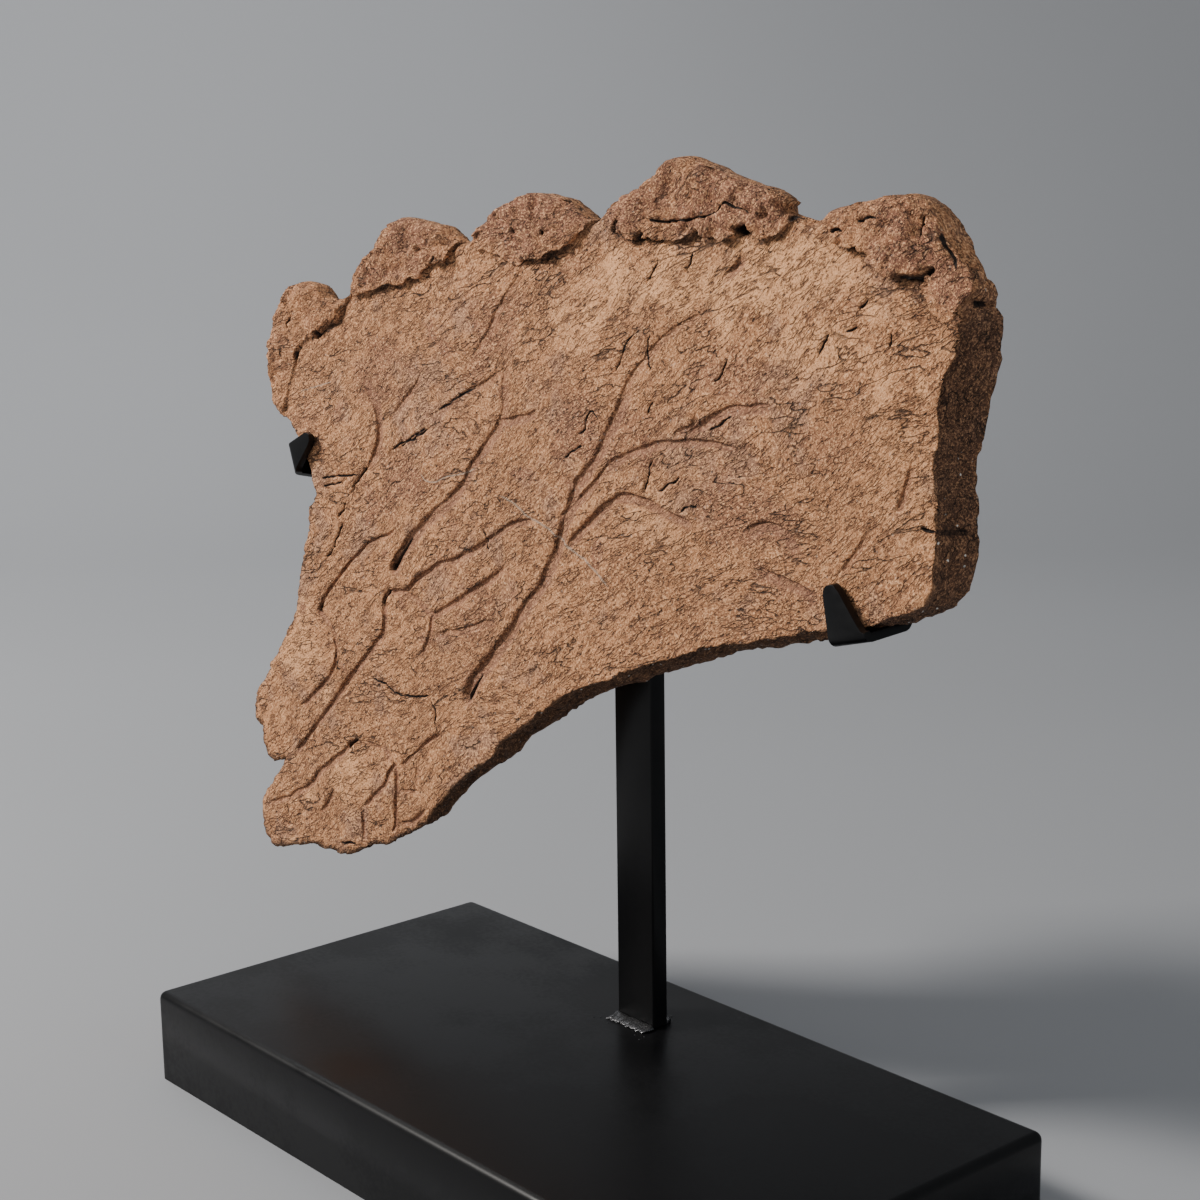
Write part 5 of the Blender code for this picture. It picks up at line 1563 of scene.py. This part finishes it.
# ---- operators -----------------------------------------------------------------------------------
class FOSSIL_OT_bone(bpy.types.Operator):
    """Build the frill bone, with its knobs, vessel grooves, cracks and broken edges"""

    bl_idname = "fossil.bone"
    bl_label = "Frill bone"

    def execute(self, context):
        settings = context.scene.fossil_bone
        bone = mesh_object("bone", *build_bone_mesh(settings.relief))
        bone.data.materials.append(shared_material("bone_surface", build_bone_material, settings))
        hold(bone, "frill_bone")
        return {"FINISHED"}


class FOSSIL_OT_stand(bpy.types.Operator):
    """Build the folded base, the upright, the cross bar and the two hooks"""

    bl_idname = "fossil.stand"
    bl_label = "Steel stand"

    def execute(self, context):
        settings = context.scene.fossil_stand
        paint = shared_material("black_coat", build_paint_material, settings)
        pieces = {
            "base": build_base(settings.edge_radius, paint),
            "upright": build_upright(paint),
            "cross_bar": build_cross_bar(paint),
            "left_hook": build_hook("left_hook_strip", LEFT_HOOK, paint),
            "right_hook": build_hook("right_hook_strip", RIGHT_HOOK, paint),
        }
        for node, piece in pieces.items():
            hold(piece, node)
        return {"FINISHED"}


class FOSSIL_OT_welds(bpy.types.Operator):
    """Build the weld beads of the stand and the spatter round its foot"""

    bl_idname = "fossil.welds"
    bl_label = "Weld beads"

    def execute(self, context):
        metal = shared_material("weld_surface", build_weld_material, context.scene.fossil_stand)
        for bead in weld_beads():
            hold(build_weld(bead, metal), bead.node)
        spatter = build_spatter(metal)
        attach(spatter, BODY)
        return {"FINISHED"}


def area_light(name, place, aim, size, power, colour=(1.0, 1.0, 1.0)):
    """A square soft light, its side in metres."""
    data = bpy.data.lights.new(name, "AREA")
    data.size = size
    data.energy = power
    data.color = colour
    light = new_object(name, data)
    light.location = place
    light.rotation_euler = (Vector(aim) - Vector(place)).to_track_quat("-Z", "Y").to_euler()


def build_sweep(turn, material):
    """The floor that curves up into a backdrop, square to the way the camera is turned."""
    profile = [(FLOOR_NEAR, 0.0), (FLOOR_FAR, 0.0)]
    for k in range(1, SWEEP_STEPS + 1):
        angle = math.radians(90.0 * k / SWEEP_STEPS)
        profile.append((FLOOR_FAR + SWEEP_RADIUS * math.sin(angle), SWEEP_RADIUS * (1.0 - math.cos(angle))))
    profile.append((FLOOR_FAR + SWEEP_RADIUS, BACKDROP_TOP))
    away = Vector((-math.sin(turn), math.cos(turn), 0.0))
    aside = Vector((math.cos(turn), math.sin(turn), 0.0))
    sweep = bmesh.new()
    left, right = ([sweep.verts.new(away * y + aside * side + Vector((0, 0, z))) for y, z in profile]
                   for side in (-SWEEP_HALF_WIDTH, SWEEP_HALF_WIDTH))
    for i in range(len(profile) - 1):
        sweep.faces.new((left[i], right[i], right[i + 1], left[i + 1]))
    return finish_piece("studio_floor", sweep, material)


class FOSSIL_OT_stage(bpy.types.Operator):
    """Build the pale floor and backdrop, the studio lights and the camera"""

    bl_idname = "fossil.stage"
    bl_label = "Stage, lights and camera"

    def execute(self, context):
        settings = context.scene.fossil_stage
        floor = build_sweep(settings.camera_turn[2], build_stage_material(settings))
        aim = (0.0, 0.0, 0.28)
        area_light("key_light", (-1.30, -1.45, 1.75), aim, 0.50, settings.key_power, (1.0, 0.96, 0.91))
        area_light("fill_light", (1.4, -1.5, 0.9), aim, 1.6, settings.fill_power)
        area_light("side_light", (2.1, 0.2, 0.9), aim, 1.0, settings.side_power)
        area_light("back_light", (-1.9, 0.2, 1.9), (-2.3, 1.0, 0.5), 1.2, settings.back_power)
        world = bpy.data.worlds.new("room")
        world.use_nodes = True
        room = world.node_tree.nodes["Background"].inputs
        room["Color"].default_value = (0.9, 0.95, 1.0, 1.0)
        room["Strength"].default_value = settings.world_level
        context.scene.world = world

        data = bpy.data.cameras.new("camera")
        data.lens = settings.lens
        data.clip_start = 0.05
        data.clip_end = 20.0
        camera = new_object("camera", data)
        camera.location = settings.camera_place
        camera.rotation_euler = settings.camera_turn
        context.scene.camera = camera
        return {"FINISHED"}


class FOSSIL_PT_panel(bpy.types.Panel):
    """The pieces of the fossil and its stand"""

    bl_label = "Fossil on a stand"
    bl_idname = "FOSSIL_PT_panel"
    bl_space_type = "VIEW_3D"
    bl_region_type = "UI"
    bl_category = "Fossil"

    def draw(self, context):
        for name in GROUPS:
            group = getattr(context.scene, name)
            box = self.layout.box()
            for setting in group.__annotations__:
                box.prop(group, setting)
        for operator in OPERATORS:
            self.layout.operator(operator.bl_idname)


OPERATORS = (FOSSIL_OT_bone, FOSSIL_OT_stand, FOSSIL_OT_welds, FOSSIL_OT_stage)
GROUPS = {
    "fossil_bone": FossilBoneSettings,
    "fossil_stand": StandSettings,
    "fossil_stage": StageSettings,
}


def register():
    for name, group in GROUPS.items():
        bpy.utils.register_class(group)
        setattr(bpy.types.Scene, name, bpy.props.PointerProperty(type=group))
    for thing in (*OPERATORS, FOSSIL_PT_panel):
        bpy.utils.register_class(thing)


def unregister():
    for thing in (FOSSIL_PT_panel, *reversed(OPERATORS)):
        bpy.utils.unregister_class(thing)
    for name, group in GROUPS.items():
        delattr(bpy.types.Scene, name)
        bpy.utils.unregister_class(group)


def main():
    register()
    bpy.ops.fossil.bone()
    bpy.ops.fossil.stand()
    bpy.ops.fossil.welds()
    bpy.ops.fossil.stage()


if __name__ == "__main__":
    main()
